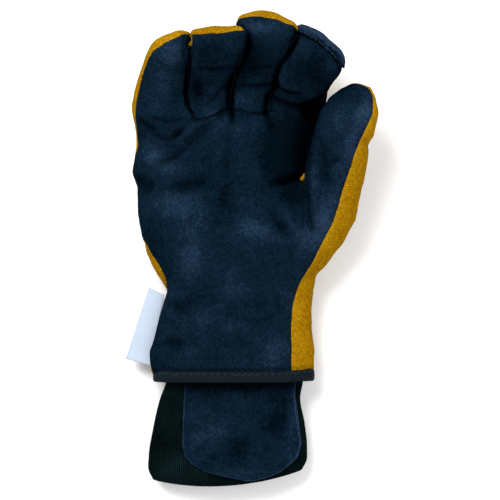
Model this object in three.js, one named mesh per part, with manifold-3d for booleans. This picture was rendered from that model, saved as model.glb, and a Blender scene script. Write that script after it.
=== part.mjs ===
// A firefighter's glove for the right hand, lying on its back with the palm up.
// Navy suede covers the palm and the fronts of the digits, and gold suede the back.
// Millimetres. +X points to the thumb side, +Y to the fingertips, +Z up out of the palm.
// The origin is on the flat patch on the back of the hand that the glove rests on.
import * as THREE from "three";
import { mergeVertices } from "three/addons/utils/BufferGeometryUtils.js";
import Module from "manifold-3d";

const wasm = await Module();
wasm.setup();
const radians = THREE.MathUtils.degToRad;

// Driving dimensions of the hand
const WALL = 4; // suede, moisture barrier and quilted lining, sewn as one thickness
const CLEARANCE = 0.3; // kept between neighbouring pieces
const PALM_LENGTH = 126; // wrist to the webs between the fingers
const PALM_WIDTH = 128; // across the knuckles
const PALM_DEPTH = 50; // a hand's thickness and the slack round it
const WRIST_Y = -48;
const CUFF_LENGTH = 61; // wrist to hem
const CUFF_WIDTH = 108;
const CUFF_DEPTH = 44;

// Driving dimensions of the trim
const BINDING_THICK = 1.1;
const BINDING_WIDE = 6.6;
const KNIT_LENGTH = 71; // wrist rib, from the hem to its open end
const KNIT_SEWN_IN = 32; // how far up inside the cuff it starts
const KNIT_SEAM = 8; // the part of that which lies along the lining
const KNIT_CLEAR = 4; // how far above the binding it starts to widen
const KNIT_WIDTH = 106;
const KNIT_DEPTH = 34;
const KNIT_WALL = 3;
const KNIT_BOW = 7; // how much shorter the open end is at its sides
const KNIT_SLANT = 3.4; // how much shorter its thumb side is
const TONGUE_WIDTH = 80;
const TONGUE_LENGTH = 68; // from the hem to its round end
const TONGUE_SEWN_IN = 9;
const TONGUE_THICK = 2;
const TONGUE_CLEAR = 0.95;
const TONGUE_CENTRE = 11.5;
const LABEL_LENGTH = 50.4;
const LABEL_TURN = 19.5; // degrees that its free edge spreads from the seam
const LABEL_TOP_PROUD = 10.5;
const LABEL_END_PROUD = 16.3;
const LABEL_THICK = 1;
const LABEL_BITE = 2.4; // how deep the seam holds it
const LABEL_TOP = [-40.8, -50];
const LABEL_HEIGHT = 19;
const CAP_THICK = 1.5;
const CAP_TURNED = 6; // width of the turned edge on the front of the index tip
const CAP_BACK = 26; // how far the cap reaches down the back of the index
const STAY_LENGTH = 6.5;
const STAY_WIDTH = 3.2;
const STAY_PLACE = [53.4, 29, 43];
const STAY_TURN = -38;

// Cuff rows run from the wrist to the hem. at: share of the cuff's length. left, right: edges as
// shares of its width. front: height of the palm side and middle: height of the widest line, as
// shares of its depth. lift: height of the back above the floor, and below it where negative.
// little, thumb: degrees of the seam above the widest line, on the side of that digit.
const CUFF_ROWS = [
  { at: 0.0, left: -0.375, right: 0.559, front: 0.99, middle: 0.44, lift: -0.027, little: 3, thumb: 44 },
  { at: 0.32, left: -0.416, right: 0.542, front: 0.98, middle: 0.45, lift: -0.027, little: -5, thumb: 46 },
  { at: 0.54, left: -0.441, right: 0.56, front: 0.98, middle: 0.46, lift: -0.024, little: -5, thumb: 48 },
  { at: 0.77, left: -0.472, right: 0.564, front: 0.97, middle: 0.47, lift: 0.003, little: 4, thumb: 48 },
  { at: 1.0, left: -0.44, right: 0.55, front: 0.93, middle: 0.47, lift: 0.03, little: 6, thumb: 46 },
];

// Palm rows run from the wrist to the webs, with the same columns as shares of the palm's sizes.
const PALM_ROWS = [
  { at: 0.0, left: -0.316, right: 0.472, front: 0.871, middle: 0.387, lift: -0.024, little: 3, thumb: 44 },
  { at: 0.06, left: -0.351, right: 0.484, front: 0.9, middle: 0.4, lift: -0.024, little: 24, thumb: 40 },
  { at: 0.12, left: -0.383, right: 0.488, front: 0.94, middle: 0.41, lift: -0.024, little: 28, thumb: 32 },
  { at: 0.19, left: -0.41, right: 0.49, front: 0.98, middle: 0.42, lift: -0.024, little: 22, thumb: 12 },
  { at: 0.27, left: -0.436, right: 0.49, front: 1.0, middle: 0.43, lift: -0.024, little: 2, thumb: 0 },
  { at: 0.42, left: -0.462, right: 0.505, front: 1.0, middle: 0.43, lift: -0.024, little: -6, thumb: -5 },
  { at: 0.55, left: -0.463, right: 0.525, front: 0.97, middle: 0.42, lift: -0.024, little: -6, thumb: -5 },
  { at: 0.645, left: -0.489, right: 0.535, front: 0.94, middle: 0.42, lift: -0.024, little: -6, thumb: -5 },
  { at: 0.775, left: -0.474, right: 0.535, front: 0.9, middle: 0.42, lift: -0.015, little: 9, thumb: -5 },
  { at: 0.89, left: -0.475, right: 0.53, front: 0.83, middle: 0.45, lift: 0.05, little: 4, thumb: -2 },
  { at: 1.0, left: -0.45, right: 0.5, front: 0.76, middle: 0.5, lift: 0.17, little: 16, thumb: 0 },
];

// Digit rows run from the root, inside the palm, to the tip. at: share of the digit's length.
// pitch: degrees above the floor. lean: degrees towards the thumb side. wide, front, back: shares
// of the digit's width and of its depth on either side of the widest line. little, thumb:
// as above. A row whose front is less than its neighbours' is a fold across the digit. tip: share
// of the length that rounds off, and square: how blunt it is, 2 being an ellipse.
const DIGITS = {
  little: {
    root: [-42, 54, 21], length: 81, width: 36, depth: 33, tip: 0.17, square: 3.4, roll: 0,
    rows: [
      { at: 0.0, pitch: 4, lean: -5, wide: 1.0, front: 0.5, back: 0.5, little: 6, thumb: 0 },
      { at: 0.22, pitch: 11, lean: -5, wide: 1.06, front: 0.5, back: 0.5, little: 20, thumb: 0 },
      { at: 0.42, pitch: 20, lean: 4, wide: 0.96, front: 0.5, back: 0.47, little: 32, thumb: 0 },
      { at: 0.62, pitch: 29, lean: 15, wide: 0.86, front: 0.46, back: 0.43, little: 34, thumb: 4 },
      { at: 0.8, pitch: 36, lean: 10, wide: 0.78, front: 0.42, back: 0.39, little: 34, thumb: 4 },
      { at: 1.0, pitch: 40, lean: -20, wide: 0.76, front: 0.38, back: 0.36, little: 20, thumb: 4 },
    ],
  },
  ring: {
    root: [-9.8, 56, 23], length: 90, width: 37, depth: 33, tip: 0.14, square: 3.2, roll: 0,
    rows: [
      { at: 0.0, pitch: 8, lean: 0, wide: 0.7, front: 0.5, back: 0.52, little: 0, thumb: 0 },
      { at: 0.2, pitch: 18, lean: 1, wide: 0.68, front: 0.53, back: 0.52, little: 0, thumb: 0 },
      { at: 0.36, pitch: 30, lean: 4, wide: 0.66, front: 0.54, back: 0.48, little: 0, thumb: 0 },
      { at: 0.5, pitch: 42, lean: 9, wide: 0.68, front: 0.44, back: 0.45, little: 0, thumb: 0 },
      { at: 0.64, pitch: 50, lean: 12, wide: 0.82, front: 0.48, back: 0.41, little: 0, thumb: 0 },
      { at: 0.82, pitch: 54, lean: 11, wide: 0.95, front: 0.43, back: 0.38, little: 0, thumb: 0 },
      { at: 1.0, pitch: 56, lean: 10, wide: 1.0, front: 0.38, back: 0.36, little: 0, thumb: 0 },
    ],
  },
  middle: {
    root: [17, 56, 23], length: 100, width: 40, depth: 33, tip: 0.13, square: 3.2, roll: 0,
    rows: [
      { at: 0.0, pitch: 8, lean: 0, wide: 0.66, front: 0.5, back: 0.52, little: 0, thumb: 0 },
      { at: 0.2, pitch: 14, lean: 0, wide: 0.64, front: 0.5, back: 0.52, little: 0, thumb: 0 },
      { at: 0.36, pitch: 24, lean: 9, wide: 0.62, front: 0.51, back: 0.48, little: 0, thumb: 0 },
      { at: 0.52, pitch: 36, lean: 20, wide: 0.62, front: 0.44, back: 0.45, little: 0, thumb: 0 },
      { at: 0.67, pitch: 46, lean: 21, wide: 0.64, front: 0.48, back: 0.41, little: 0, thumb: 0 },
      { at: 0.84, pitch: 52, lean: 12, wide: 0.82, front: 0.43, back: 0.38, little: 0, thumb: 0 },
      { at: 1.0, pitch: 55, lean: 2, wide: 1.08, front: 0.38, back: 0.36, little: 0, thumb: 0 },
    ],
  },
  index: {
    root: [50, 58, 22], length: 82, width: 39, depth: 33, tip: 0.14, square: 3.2, roll: 0,
    rows: [
      { at: 0.0, pitch: 12, lean: 0, wide: 0.94, front: 0.5, back: 0.5, little: 0, thumb: 0 },
      { at: 0.2, pitch: 20, lean: 2, wide: 0.92, front: 0.5, back: 0.48, little: 0, thumb: 0 },
      { at: 0.38, pitch: 36, lean: 8, wide: 0.9, front: 0.4, back: 0.46, little: 0, thumb: 0 },
      { at: 0.52, pitch: 48, lean: 19, wide: 0.93, front: 0.5, back: 0.42, little: 0, thumb: 0 },
      { at: 0.7, pitch: 47, lean: 29, wide: 0.89, front: 0.46, back: 0.4, little: 0, thumb: 0 },
      { at: 0.86, pitch: 44, lean: 35, wide: 0.92, front: 0.41, back: 0.38, little: 0, thumb: 0 },
      { at: 1.0, pitch: 42, lean: 37, wide: 1.0, front: 0.36, back: 0.36, little: 0, thumb: 0 },
    ],
  },
  thumb: {
    root: [37, -44, 22], length: 152, width: 38, depth: 37, tip: 0.19, square: 2.2, roll: 12,
    rows: [
      { at: 0.0, pitch: 10, lean: 40, wide: 0.6, front: 0.36, back: 0.34, little: 0, thumb: 30 },
      { at: 0.14, pitch: 14, lean: 37, wide: 0.84, front: 0.5, back: 0.46, little: 0, thumb: 44 },
      { at: 0.3, pitch: 18, lean: 29, wide: 0.95, front: 0.53, back: 0.48, little: 0, thumb: 60 },
      { at: 0.44, pitch: 20, lean: 12, wide: 0.98, front: 0.52, back: 0.47, little: -10, thumb: 62 },
      { at: 0.56, pitch: 17, lean: 8, wide: 1.0, front: 0.48, back: 0.45, little: -10, thumb: 58 },
      { at: 0.7, pitch: 13, lean: 16, wide: 0.96, front: 0.46, back: 0.43, little: -6, thumb: 50 },
      { at: 0.85, pitch: 10, lean: 20, wide: 1.02, front: 0.43, back: 0.41, little: 0, thumb: 41 },
      { at: 1.0, pitch: 8, lean: 14, wide: 0.98, front: 0.4, back: 0.39, little: 0, thumb: 22 },
    ],
  },
};

// Where the fronts of the ring and middle fingers are sewn to the palm: a point of the seam, and
// the way that the seam faces.
const BASE_SEAMS = {
  ring: { x: -8, y: 72.5, lean: -20 },
  middle: { x: 18, y: 74.5, lean: 4 },
};

// Knit rows run from the hem to the open end. at: share of its length. left, right: shares of its
// width. low, high: shares of its depth.
const KNIT_ROWS = [
  { at: 0.0, left: -0.375, right: 0.486, low: 0.236, high: 0.9 },
  { at: 0.2, left: -0.42, right: 0.483, low: 0.03, high: 0.93 },
  { at: 0.5, left: -0.464, right: 0.512, low: -0.035, high: 0.9 },
  { at: 0.78, left: -0.492, right: 0.527, low: -0.035, high: 0.87 },
  { at: 0.94, left: -0.49, right: 0.52, low: -0.02, high: 0.84 },
  { at: 1.0, left: -0.47, right: 0.5, low: 0.02, high: 0.8 },
];

// Tongue rows run from the hem to its round end. left, right: shares of its width from its centre.
const TONGUE_ROWS = [
  { at: 0.0, left: -0.484, right: 0.46 },
  { at: 0.13, left: -0.49, right: 0.447 },
  { at: 0.37, left: -0.5, right: 0.4725 },
  { at: 0.64, left: -0.509, right: 0.505 },
  { at: 0.77, left: -0.481, right: 0.472 },
  { at: 0.84, left: -0.424, right: 0.412 },
  { at: 0.91, left: -0.314, right: 0.331 },
  { at: 0.96, left: -0.144, right: 0.244 },
  { at: 1.0, left: 0.03, right: 0.11 },
];

// Broad hollows and mounds of the palm. long, wide: reach along and across. turn: degrees from +Y
// towards +X. sink: depth, and negative for a mound.
const PALM_FORMS = [
  { x: 8, y: 36, long: 40, wide: 17, turn: 0, sink: 3.5 },
  { x: 28, y: 34, long: 26, wide: 8, turn: 65, sink: 4 },
  { x: 40, y: -8, long: 34, wide: 22, turn: 24, sink: -4 },
  { x: -34, y: -2, long: 36, wide: 20, turn: -10, sink: -3 },
  { x: -34, y: 62, long: 22, wide: 5, turn: 108, sink: 3 },
  { x: -22, y: 34, long: 16, wide: 6, turn: 80, sink: 2.5 },
  { x: -52, y: 30, long: 10, wide: 5, turn: 80, sink: 2 },
];

// Meshing. outside: the suede. inside: the lining, which needs fewer faces.
const FACES = {
  outside: { palmSteps: 13, cuffSteps: 4, bodySides: 32, digitSteps: 8, digitSides: 14 },
  inside: { palmSteps: 8, cuffSteps: 2, bodySides: 18, digitSteps: 5, digitSides: 8 },
};
const KNIT_STEPS = 6;
const KNIT_SEWN_STEPS = 3;
const KNIT_SIDES = 24;
const TONGUE_STEPS = 11;
const TONGUE_SIDES = 10;
const TIP_STEPS = [0.5, 0.8, 0.96];
const SECTION_SQUARE = 2.35; // 2 is an ellipse, and more is squarer
const BODY_SQUARE = 2.5;
const WEB_ROUND = 10; // how far back from the webs the palm starts to round off
const WEB_STEPS = [0.5, 0.85];
const WEB_CLOSED = 0.98; // share of a full round at which the webs end
const FORM_FADE = 1.5; // how fast a hollow or mound comes in above the widest line
const STATION_GAP = 0.2; // closer stations than this become one
const OVERRUN = 1; // how far a cutting shape runs past the face that it cuts
const MERGE_GAP = 0.0001;
const TONGUE_CROWD = 1.6; // how much closer its rows lie towards the round end
const BOW_PASSES = 4;
const STAY_STEPS = 3;
const STAY_SIDES = 8;
const HUGE = 1000;

const hemY = WRIST_Y - CUFF_LENGTH;
const webY = WRIST_Y + PALM_LENGTH;
const names = Object.keys(DIGITS);

// A row between the rows of a table, each column on a smooth curve through its values.
function sample(rows, at) {
  const last = rows.length - 1;
  let k = 0;
  while (k < last - 1 && rows[k + 1].at < at) k++;
  const t = THREE.MathUtils.clamp((at - rows[k].at) / (rows[k + 1].at - rows[k].at), 0, 1);
  const found = {};
  for (const column of Object.keys(rows[0])) {
    const [a, b] = [rows[k][column], rows[k + 1][column]];
    const before = rows[Math.max(k - 1, 0)][column];
    const after = rows[Math.min(k + 2, last)][column];
    const [m, n] = [(b - before) / 2, (after - a) / 2];
    const [t2, t3] = [t * t, t * t * t];
    found[column] = (2 * t3 - 3 * t2 + 1) * a + (t3 - 2 * t2 + t) * m
      + (3 * t2 - 2 * t3) * b + (t3 - t2) * n;
  }
  return found;
}

// How far the palm's hollows and mounds lower a point of its front.
function sunk(x, y) {
  let total = 0;
  for (const form of PALM_FORMS) {
    const turn = radians(form.turn);
    const along = (x - form.x) * Math.sin(turn) + (y - form.y) * Math.cos(turn);
    const across = (x - form.x) * Math.cos(turn) - (y - form.y) * Math.sin(turn);
    total += form.sink * Math.exp(-((along / form.long) ** 2) - (across / form.wide) ** 2);
  }
  return total;
}

// The section of palm and cuff at a place along the glove, its outside moved out by grow.
function bodySection(y, grow) {
  const onCuff = y < WRIST_Y;
  const [length, width, depth] = onCuff
    ? [CUFF_LENGTH, CUFF_WIDTH, CUFF_DEPTH]
    : [PALM_LENGTH, PALM_WIDTH, PALM_DEPTH];
  const row = sample(onCuff ? CUFF_ROWS : PALM_ROWS, Math.abs(y - WRIST_Y) / length);
  const middle = row.middle * depth;
  const rounding = THREE.MathUtils.clamp((y - webY + WEB_ROUND - grow) / WEB_ROUND, 0, WEB_CLOSED);
  const thin = Math.sqrt(1 - rounding ** 2);
  return {
    centre: new THREE.Vector3(((row.left + row.right) / 2) * width, y, middle),
    side: new THREE.Vector3(1, 0, 0),
    up: new THREE.Vector3(0, 0, 1),
    wide: ((row.right - row.left) / 2) * width + grow,
    front: (row.front * depth - middle + grow) * thin,
    back: (middle - row.lift * depth + grow) * thin,
    square: BODY_SQUARE,
    little: row.little,
    thumb: row.thumb,
  };
}

// The direction of a digit, and the axes of its section.
function bearings(pitch, lean, roll) {
  const [p, h, r] = [pitch, lean, roll].map(radians);
  const ahead = Math.cos(p);
  const along = new THREE.Vector3(ahead * Math.sin(h), ahead * Math.cos(h), Math.sin(p));
  const level = new THREE.Vector3(Math.cos(h), -Math.sin(h), 0);
  const raised = new THREE.Vector3().crossVectors(level, along);
  return {
    along,
    side: level.clone().applyAxisAngle(along, -r),
    up: raised.clone().applyAxisAngle(along, -r),
  };
}

// The sections of a digit from root to tip, its outside moved out by grow.
function digitSections(digit, grow, steps) {
  const length = digit.length + grow;
  const tipStart = 1 - digit.tip;
  const places = [];
  for (let i = 0; i <= steps; i++) places.push({ at: (tipStart * i) / steps, rounding: 0 });
  for (const rounding of TIP_STEPS) {
    places.push({ at: tipStart + digit.tip * rounding, rounding });
  }
  const here = new THREE.Vector3(...digit.root);
  const sections = [];
  let reached = 0;
  for (const { at, rounding } of places) {
    const half = sample(digit.rows, (at + reached) / 2);
    here.addScaledVector(bearings(half.pitch, half.lean, 0).along, (at - reached) * length);
    reached = at;
    const row = sample(digit.rows, at);
    const blunt = (1 - rounding ** digit.square) ** (1 / digit.square);
    const thin = Math.sqrt(1 - rounding ** 2);
    sections.push({
      centre: here.clone(),
      ...bearings(row.pitch, row.lean, digit.roll),
      wide: ((row.wide * digit.width) / 2 + grow) * blunt,
      front: (row.front * digit.depth + grow) * thin,
      back: (row.back * digit.depth + grow) * thin,
      square: SECTION_SQUARE,
      little: row.little,
      thumb: row.thumb,
    });
  }
  return sections;
}

// A point of a section at an angle round it, 0 at the thumb side and 90 at the palm side.
function onSection(section, degrees) {
  const power = 2 / section.square;
  const [c, s] = [Math.cos(radians(degrees)), Math.sin(radians(degrees))];
  const across = Math.sign(c) * section.wide * Math.abs(c) ** power;
  const raised = Math.sign(s) * (s > 0 ? section.front : section.back) * Math.abs(s) ** power;
  return section.centre
    .clone()
    .addScaledVector(section.side, across)
    .addScaledVector(section.up, raised);
}

// The points round a section, or round its palm side or back side of the seams. Grown, a palm side
// also reaches past the seams, so that it can clear a gap.
function ring(section, part, sides, grow) {
  const [from, to] = {
    whole: [0, 360 - 360 / sides],
    front: [section.thumb, 180 - section.little],
    back: [180 - section.little, 360 + section.thumb],
  }[part];
  const steps = part === "whole" ? sides - 1 : sides / 2;
  const points = [];
  for (let i = 0; i <= steps; i++) {
    points.push(onSection(section, from + ((to - from) * i) / steps));
  }
  if (part === "front" && grow > 0) {
    points.unshift(points[0].clone().addScaledVector(section.up, -grow));
    points.push(points[points.length - 1].clone().addScaledVector(section.up, -grow));
  }
  return points;
}

// A geometry as a solid for joining and cutting.
function solid(geometry) {
  geometry.deleteAttribute("normal");
  geometry.deleteAttribute("uv");
  const merged = mergeVertices(geometry, MERGE_GAP);
  return new wasm.Manifold(new wasm.Mesh({
    numProp: 3,
    vertProperties: merged.attributes.position.array,
    triVerts: new Uint32Array(merged.index.array),
  }));
}

// A closed skin over rings of points, each ring with as many points as the next.
function loft(rings) {
  const around = rings[0].length;
  const points = rings.flat();
  const index = [];
  for (let r = 0; r + 1 < rings.length; r++) {
    for (let i = 0; i < around; i++) {
      const [a, b] = [r * around + i, r * around + ((i + 1) % around)];
      index.push(a, a + around, b + around, a, b + around, b);
    }
  }
  for (const [start, turned] of [[0, false], [(rings.length - 1) * around, true]]) {
    const middle = new THREE.Vector3();
    for (let i = 0; i < around; i++) middle.addScaledVector(points[start + i], 1 / around);
    const hub = points.push(middle) - 1;
    for (let i = 0; i < around; i++) {
      const [a, b] = [start + i, start + ((i + 1) % around)];
      index.push(...(turned ? [a, hub, b] : [a, b, hub]));
    }
  }
  const geometry = new THREE.BufferGeometry().setFromPoints(points);
  geometry.setIndex(index);
  return solid(geometry);
}

// Palm and cuff between two places along the glove.
function body(part, grow, fromY, toY, faces) {
  const places = [hemY, hemY + BINDING_WIDE];
  const squareEnd = webY - WEB_ROUND;
  for (let i = 1; i <= faces.cuffSteps; i++) {
    places.push(THREE.MathUtils.lerp(hemY + BINDING_WIDE, WRIST_Y, i / faces.cuffSteps));
  }
  for (let i = 1; i <= faces.palmSteps; i++) {
    places.push(THREE.MathUtils.lerp(WRIST_Y, squareEnd, i / faces.palmSteps));
  }
  for (const step of WEB_STEPS) places.push(squareEnd + WEB_ROUND * step);
  const inside = places.filter((y) => y > fromY + STATION_GAP && y < toY - STATION_GAP);
  const rings = [fromY, ...inside, toY].map((y) => {
    const section = bodySection(y, grow);
    const points = ring(section, part, faces.bodySides, grow);
    for (const point of points) {
      const height = (point.z - section.centre.z) / section.front;
      if (height > 0) point.z -= sunk(point.x, point.y) * Math.min(1, height * FORM_FADE);
    }
    return points;
  });
  return loft(rings);
}

function digit(name, part, grow, faces) {
  const sections = digitSections(DIGITS[name], grow, faces.digitSteps);
  return loft(sections.map((section) => ring(section, part, faces.digitSides, grow)));
}

// All that lies on the far side of a plane through a point, facing along a direction.
function beyond(point, direction) {
  const block = new THREE.BoxGeometry(HUGE, HUGE, HUGE);
  block.translate(0, HUGE / 2, 0);
  const turn = new THREE.Quaternion().setFromUnitVectors(new THREE.Vector3(0, 1, 0), direction);
  block.applyQuaternion(turn);
  block.translate(point.x, point.y, point.z);
  return solid(block);
}

function union(solids) {
  return solids.reduce((sum, next) => sum.add(next));
}

// The largest body of a solid, without the crumbs left where two walls only graze.
function largest(shape) {
  return shape.decompose().sort((a, b) => b.volume() - a.volume())[0];
}

const floor = beyond(new THREE.Vector3(0, 0, 0), new THREE.Vector3(0, 0, 1));

// The hollow for the hand, open at the hem
const hollow = union([
  body("whole", -WALL, hemY - OVERRUN, webY - WALL, FACES.inside),
  ...names.map((name) => digit(name, "whole", -WALL, FACES.inside)),
]);

// The two fronts that are sewn on at their base
function sewnFront(name, grow) {
  const seam = BASE_SEAMS[name];
  const facing = bearings(DIGITS[name].rows[1].pitch, seam.lean, 0).along;
  const start = new THREE.Vector3(seam.x, seam.y, DIGITS[name].root[2]);
  start.addScaledVector(facing, -grow);
  return digit(name, "front", grow, FACES.outside).intersect(beyond(start, facing));
}

const ringCleared = sewnFront("ring", CLEARANCE);
const middleCleared = sewnFront("middle", CLEARANCE);
const ringFront = sewnFront("ring", 0).subtract(hollow);
const middleFront = sewnFront("middle", 0).subtract(ringCleared).subtract(hollow);

function fronts(grow) {
  return union([
    body("front", grow, hemY - grow, webY + grow, FACES.outside),
    ...names.map((name) => digit(name, "front", grow, FACES.outside)),
  ]);
}

// The label's outline runs down its free edge and back up inside the side seam.
function label(grow) {
  const turn = radians(LABEL_TURN);
  const down = new THREE.Vector2(-Math.sin(turn), -Math.cos(turn));
  const out = new THREE.Vector2(-Math.cos(turn), Math.sin(turn));
  const top = new THREE.Vector2(...LABEL_TOP);
  const end = top.clone().addScaledVector(out, LABEL_TOP_PROUD).addScaledVector(down, LABEL_LENGTH);
  const inner = LABEL_BITE + grow;
  const shape = new THREE.Shape([
    top.clone().addScaledVector(out, -inner).addScaledVector(down, -grow),
    top.clone().addScaledVector(out, LABEL_TOP_PROUD + grow).addScaledVector(down, -grow),
    end.clone().addScaledVector(out, grow).addScaledVector(down, grow),
    end.clone().addScaledVector(out, -LABEL_END_PROUD - inner).addScaledVector(down, grow),
  ]);
  const thick = LABEL_THICK + 2 * grow;
  const geometry = new THREE.ExtrudeGeometry(shape, { depth: thick, bevelEnabled: false });
  geometry.translate(0, 0, LABEL_HEIGHT - thick / 2);
  return solid(geometry);
}

// The small leather stay that closes the crotch between thumb and palm
function stay(grow) {
  const [x, y, z] = STAY_PLACE;
  const radius = STAY_WIDTH / 2 + grow;
  const straight = STAY_LENGTH - STAY_WIDTH;
  const geometry = new THREE.CapsuleGeometry(radius, straight, STAY_STEPS, STAY_SIDES);
  geometry.rotateZ(radians(STAY_TURN));
  geometry.translate(x, y, z);
  return solid(geometry);
}

// The cap lies over the tip of the index, beyond a plane that slants from its front to its back.
const overCap = CLEARANCE + CAP_THICK;
const indexSections = digitSections(DIGITS.index, overCap, FACES.outside.digitSteps);
const tipSection = indexSections[FACES.outside.digitSteps];
const tipLength = DIGITS.index.length * DIGITS.index.tip;
const capFront = onSection(tipSection, 90).addScaledVector(tipSection.along, tipLength - CAP_TURNED);
const capBack = onSection(tipSection, 270).addScaledVector(tipSection.along, tipLength - CAP_BACK);
const capSlant = capFront.clone().sub(capBack);
const capFacing = new THREE.Vector3().crossVectors(tipSection.side, capSlant).normalize();
if (capFacing.dot(tipSection.along) < 0) capFacing.negate();
const indexCap = digit("index", "whole", overCap, FACES.outside)
  .subtract(digit("index", "whole", CLEARANCE, FACES.outside))
  .subtract(digit("middle", "whole", CLEARANCE, FACES.outside))
  .intersect(beyond(capFront, capFacing));

const trimCleared = union([label(CLEARANCE), stay(CLEARANCE)]);

const palm = fronts(0)
  .subtract(ringCleared)
  .subtract(middleCleared)
  .subtract(hollow)
  .subtract(trimCleared);

const back = union([
  body("back", 0, hemY, webY, FACES.outside),
  ...names.map((name) => digit(name, "back", 0, FACES.outside)),
])
  .intersect(floor)
  .subtract(fronts(CLEARANCE))
  .subtract(hollow)
  .subtract(trimCleared);

// Binding folded round the hem, over both sides of the wall
const bound = CLEARANCE + BINDING_THICK;
const belowHem = hemY - bound - OVERRUN;
const hemSkins = ["front", "back"].map((part) => {
  return body(part, CLEARANCE, hemY - CLEARANCE, WRIST_Y, FACES.outside);
});
const hemWall = union(hemSkins)
  .subtract(body("whole", -WALL - CLEARANCE, belowHem, WRIST_Y + OVERRUN, FACES.inside));
const binding = body("whole", bound, hemY - bound, hemY + BINDING_WIDE, FACES.outside)
  .subtract(body("whole", -WALL - bound, belowHem, WRIST_Y, FACES.inside))
  .subtract(hemWall)
  .intersect(floor);

// The section of the knit at a place along the glove. Up inside the cuff it widens to meet the lining.
function knitSection(y, grow) {
  const row = sample(KNIT_ROWS, THREE.MathUtils.clamp((hemY - y) / KNIT_LENGTH, 0, 1));
  const middle = ((row.low + row.high) / 2) * KNIT_DEPTH;
  const own = {
    centre: new THREE.Vector3(((row.left + row.right) / 2) * KNIT_WIDTH, y, middle),
    side: new THREE.Vector3(1, 0, 0),
    up: new THREE.Vector3(0, 0, 1),
    wide: ((row.right - row.left) / 2) * KNIT_WIDTH + grow,
    front: ((row.high - row.low) / 2) * KNIT_DEPTH + grow,
    back: ((row.high - row.low) / 2) * KNIT_DEPTH + grow,
    square: BODY_SQUARE,
  };
  const start = BINDING_WIDE + KNIT_CLEAR;
  const t = THREE.MathUtils.smoothstep(y - hemY, start, KNIT_SEWN_IN - KNIT_SEAM);
  const lining = bodySection(Math.max(y, hemY), grow - WALL - CLEARANCE);
  own.centre.lerp(lining.centre.setY(y), t);
  for (const size of ["wide", "front", "back"]) {
    own[size] = THREE.MathUtils.lerp(own[size], lining[size], t);
  }
  return own;
}

// How far back the open end curves at a place across the knit.
function knitShift(section, x, y) {
  const u = (x - section.centre.x) / section.wide;
  const share = THREE.MathUtils.clamp((hemY - y) / KNIT_LENGTH, 0, 1);
  return share * (KNIT_BOW * u * u + KNIT_SLANT * u);
}

function knit(grow, startY, endY) {
  const places = [];
  for (let i = 0; i <= KNIT_SEWN_STEPS; i++) {
    places.push(THREE.MathUtils.lerp(startY, hemY, i / KNIT_SEWN_STEPS));
  }
  for (let i = 1; i <= KNIT_STEPS; i++) {
    places.push(THREE.MathUtils.lerp(hemY, endY, i / KNIT_STEPS));
  }
  return loft(places.reverse().map((y) => {
    const section = knitSection(y, grow);
    const points = ring(section, "whole", KNIT_SIDES, 0);
    for (const point of points) point.y += knitShift(section, point.x, y);
    return points;
  }));
}

const cuffWall = body("whole", CLEARANCE, hemY - OVERRUN, webY, FACES.outside)
  .subtract(body("whole", -WALL - CLEARANCE, hemY - 2 * OVERRUN, webY - WALL, FACES.inside));
const knitEnd = hemY - KNIT_LENGTH;
const wristlet = knit(0, hemY + KNIT_SEWN_IN, knitEnd)
  .subtract(knit(-KNIT_WALL, hemY + KNIT_SEWN_IN + OVERRUN, knitEnd - OVERRUN))
  .subtract(cuffWall)
  .intersect(floor);

// The tongue follows the knit's palm side.
function tongueRing(y) {
  const row = sample(TONGUE_ROWS, THREE.MathUtils.clamp((hemY - y) / TONGUE_LENGTH, 0, 1));
  const middle = knitSection(y, CLEARANCE);
  const edges = [row.right, row.left].map((share) => {
    const x = TONGUE_CENTRE + share * TONGUE_WIDTH;
    const u = THREE.MathUtils.clamp((x - middle.centre.x) / middle.wide, -1, 1);
    return THREE.MathUtils.radToDeg(Math.acos(Math.sign(u) * Math.abs(u) ** (BODY_SQUARE / 2)));
  });
  const points = [[], []];
  for (const layer of [0, 1]) {
    for (let i = 0; i <= TONGUE_SIDES; i++) {
      const angle = THREE.MathUtils.lerp(edges[0], edges[1], i / TONGUE_SIDES);
      let unbowed = y;
      for (let pass = 0; pass < BOW_PASSES; pass++) {
        const rough = knitSection(unbowed, 0);
        unbowed = y - knitShift(rough, onSection(rough, angle).x, unbowed);
      }
      const section = knitSection(unbowed, TONGUE_CLEAR + layer * TONGUE_THICK);
      points[layer].push(onSection(section, angle).setY(y));
    }
  }
  return [...points[1], ...points[0].reverse()];
}
const tonguePlaces = [];
for (let i = 0; i <= TONGUE_STEPS; i++) {
  const share = 1 - (1 - i / TONGUE_STEPS) ** TONGUE_CROWD;
  tonguePlaces.push(hemY + TONGUE_SEWN_IN - (TONGUE_SEWN_IN + TONGUE_LENGTH) * share);
}
const tongue = loft(tonguePlaces.reverse().map(tongueRing));

function node(name, shape, look) {
  const mesh = shape.getMesh();
  const geometry = new THREE.BufferGeometry();
  geometry.setAttribute("position", new THREE.BufferAttribute(mesh.vertProperties, 3));
  geometry.setIndex(new THREE.BufferAttribute(mesh.triVerts, 1));
  geometry.computeVertexNormals();
  const made = new THREE.Mesh(geometry, new THREE.MeshStandardMaterial(look));
  made.name = name;
  return made;
}

const NAVY = { color: 0x17263c, roughness: 0.95, metalness: 0 };
const GOLD = { color: 0xb07d08, roughness: 0.9, metalness: 0 };
const BLACK_TAPE = { color: 0x1c2328, roughness: 0.8, metalness: 0 };
const BLACK_KNIT = { color: 0x0a1113, roughness: 1, metalness: 0 };
const WHITE_TAPE = { color: 0xdfe5ee, roughness: 0.6, metalness: 0 };

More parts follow.
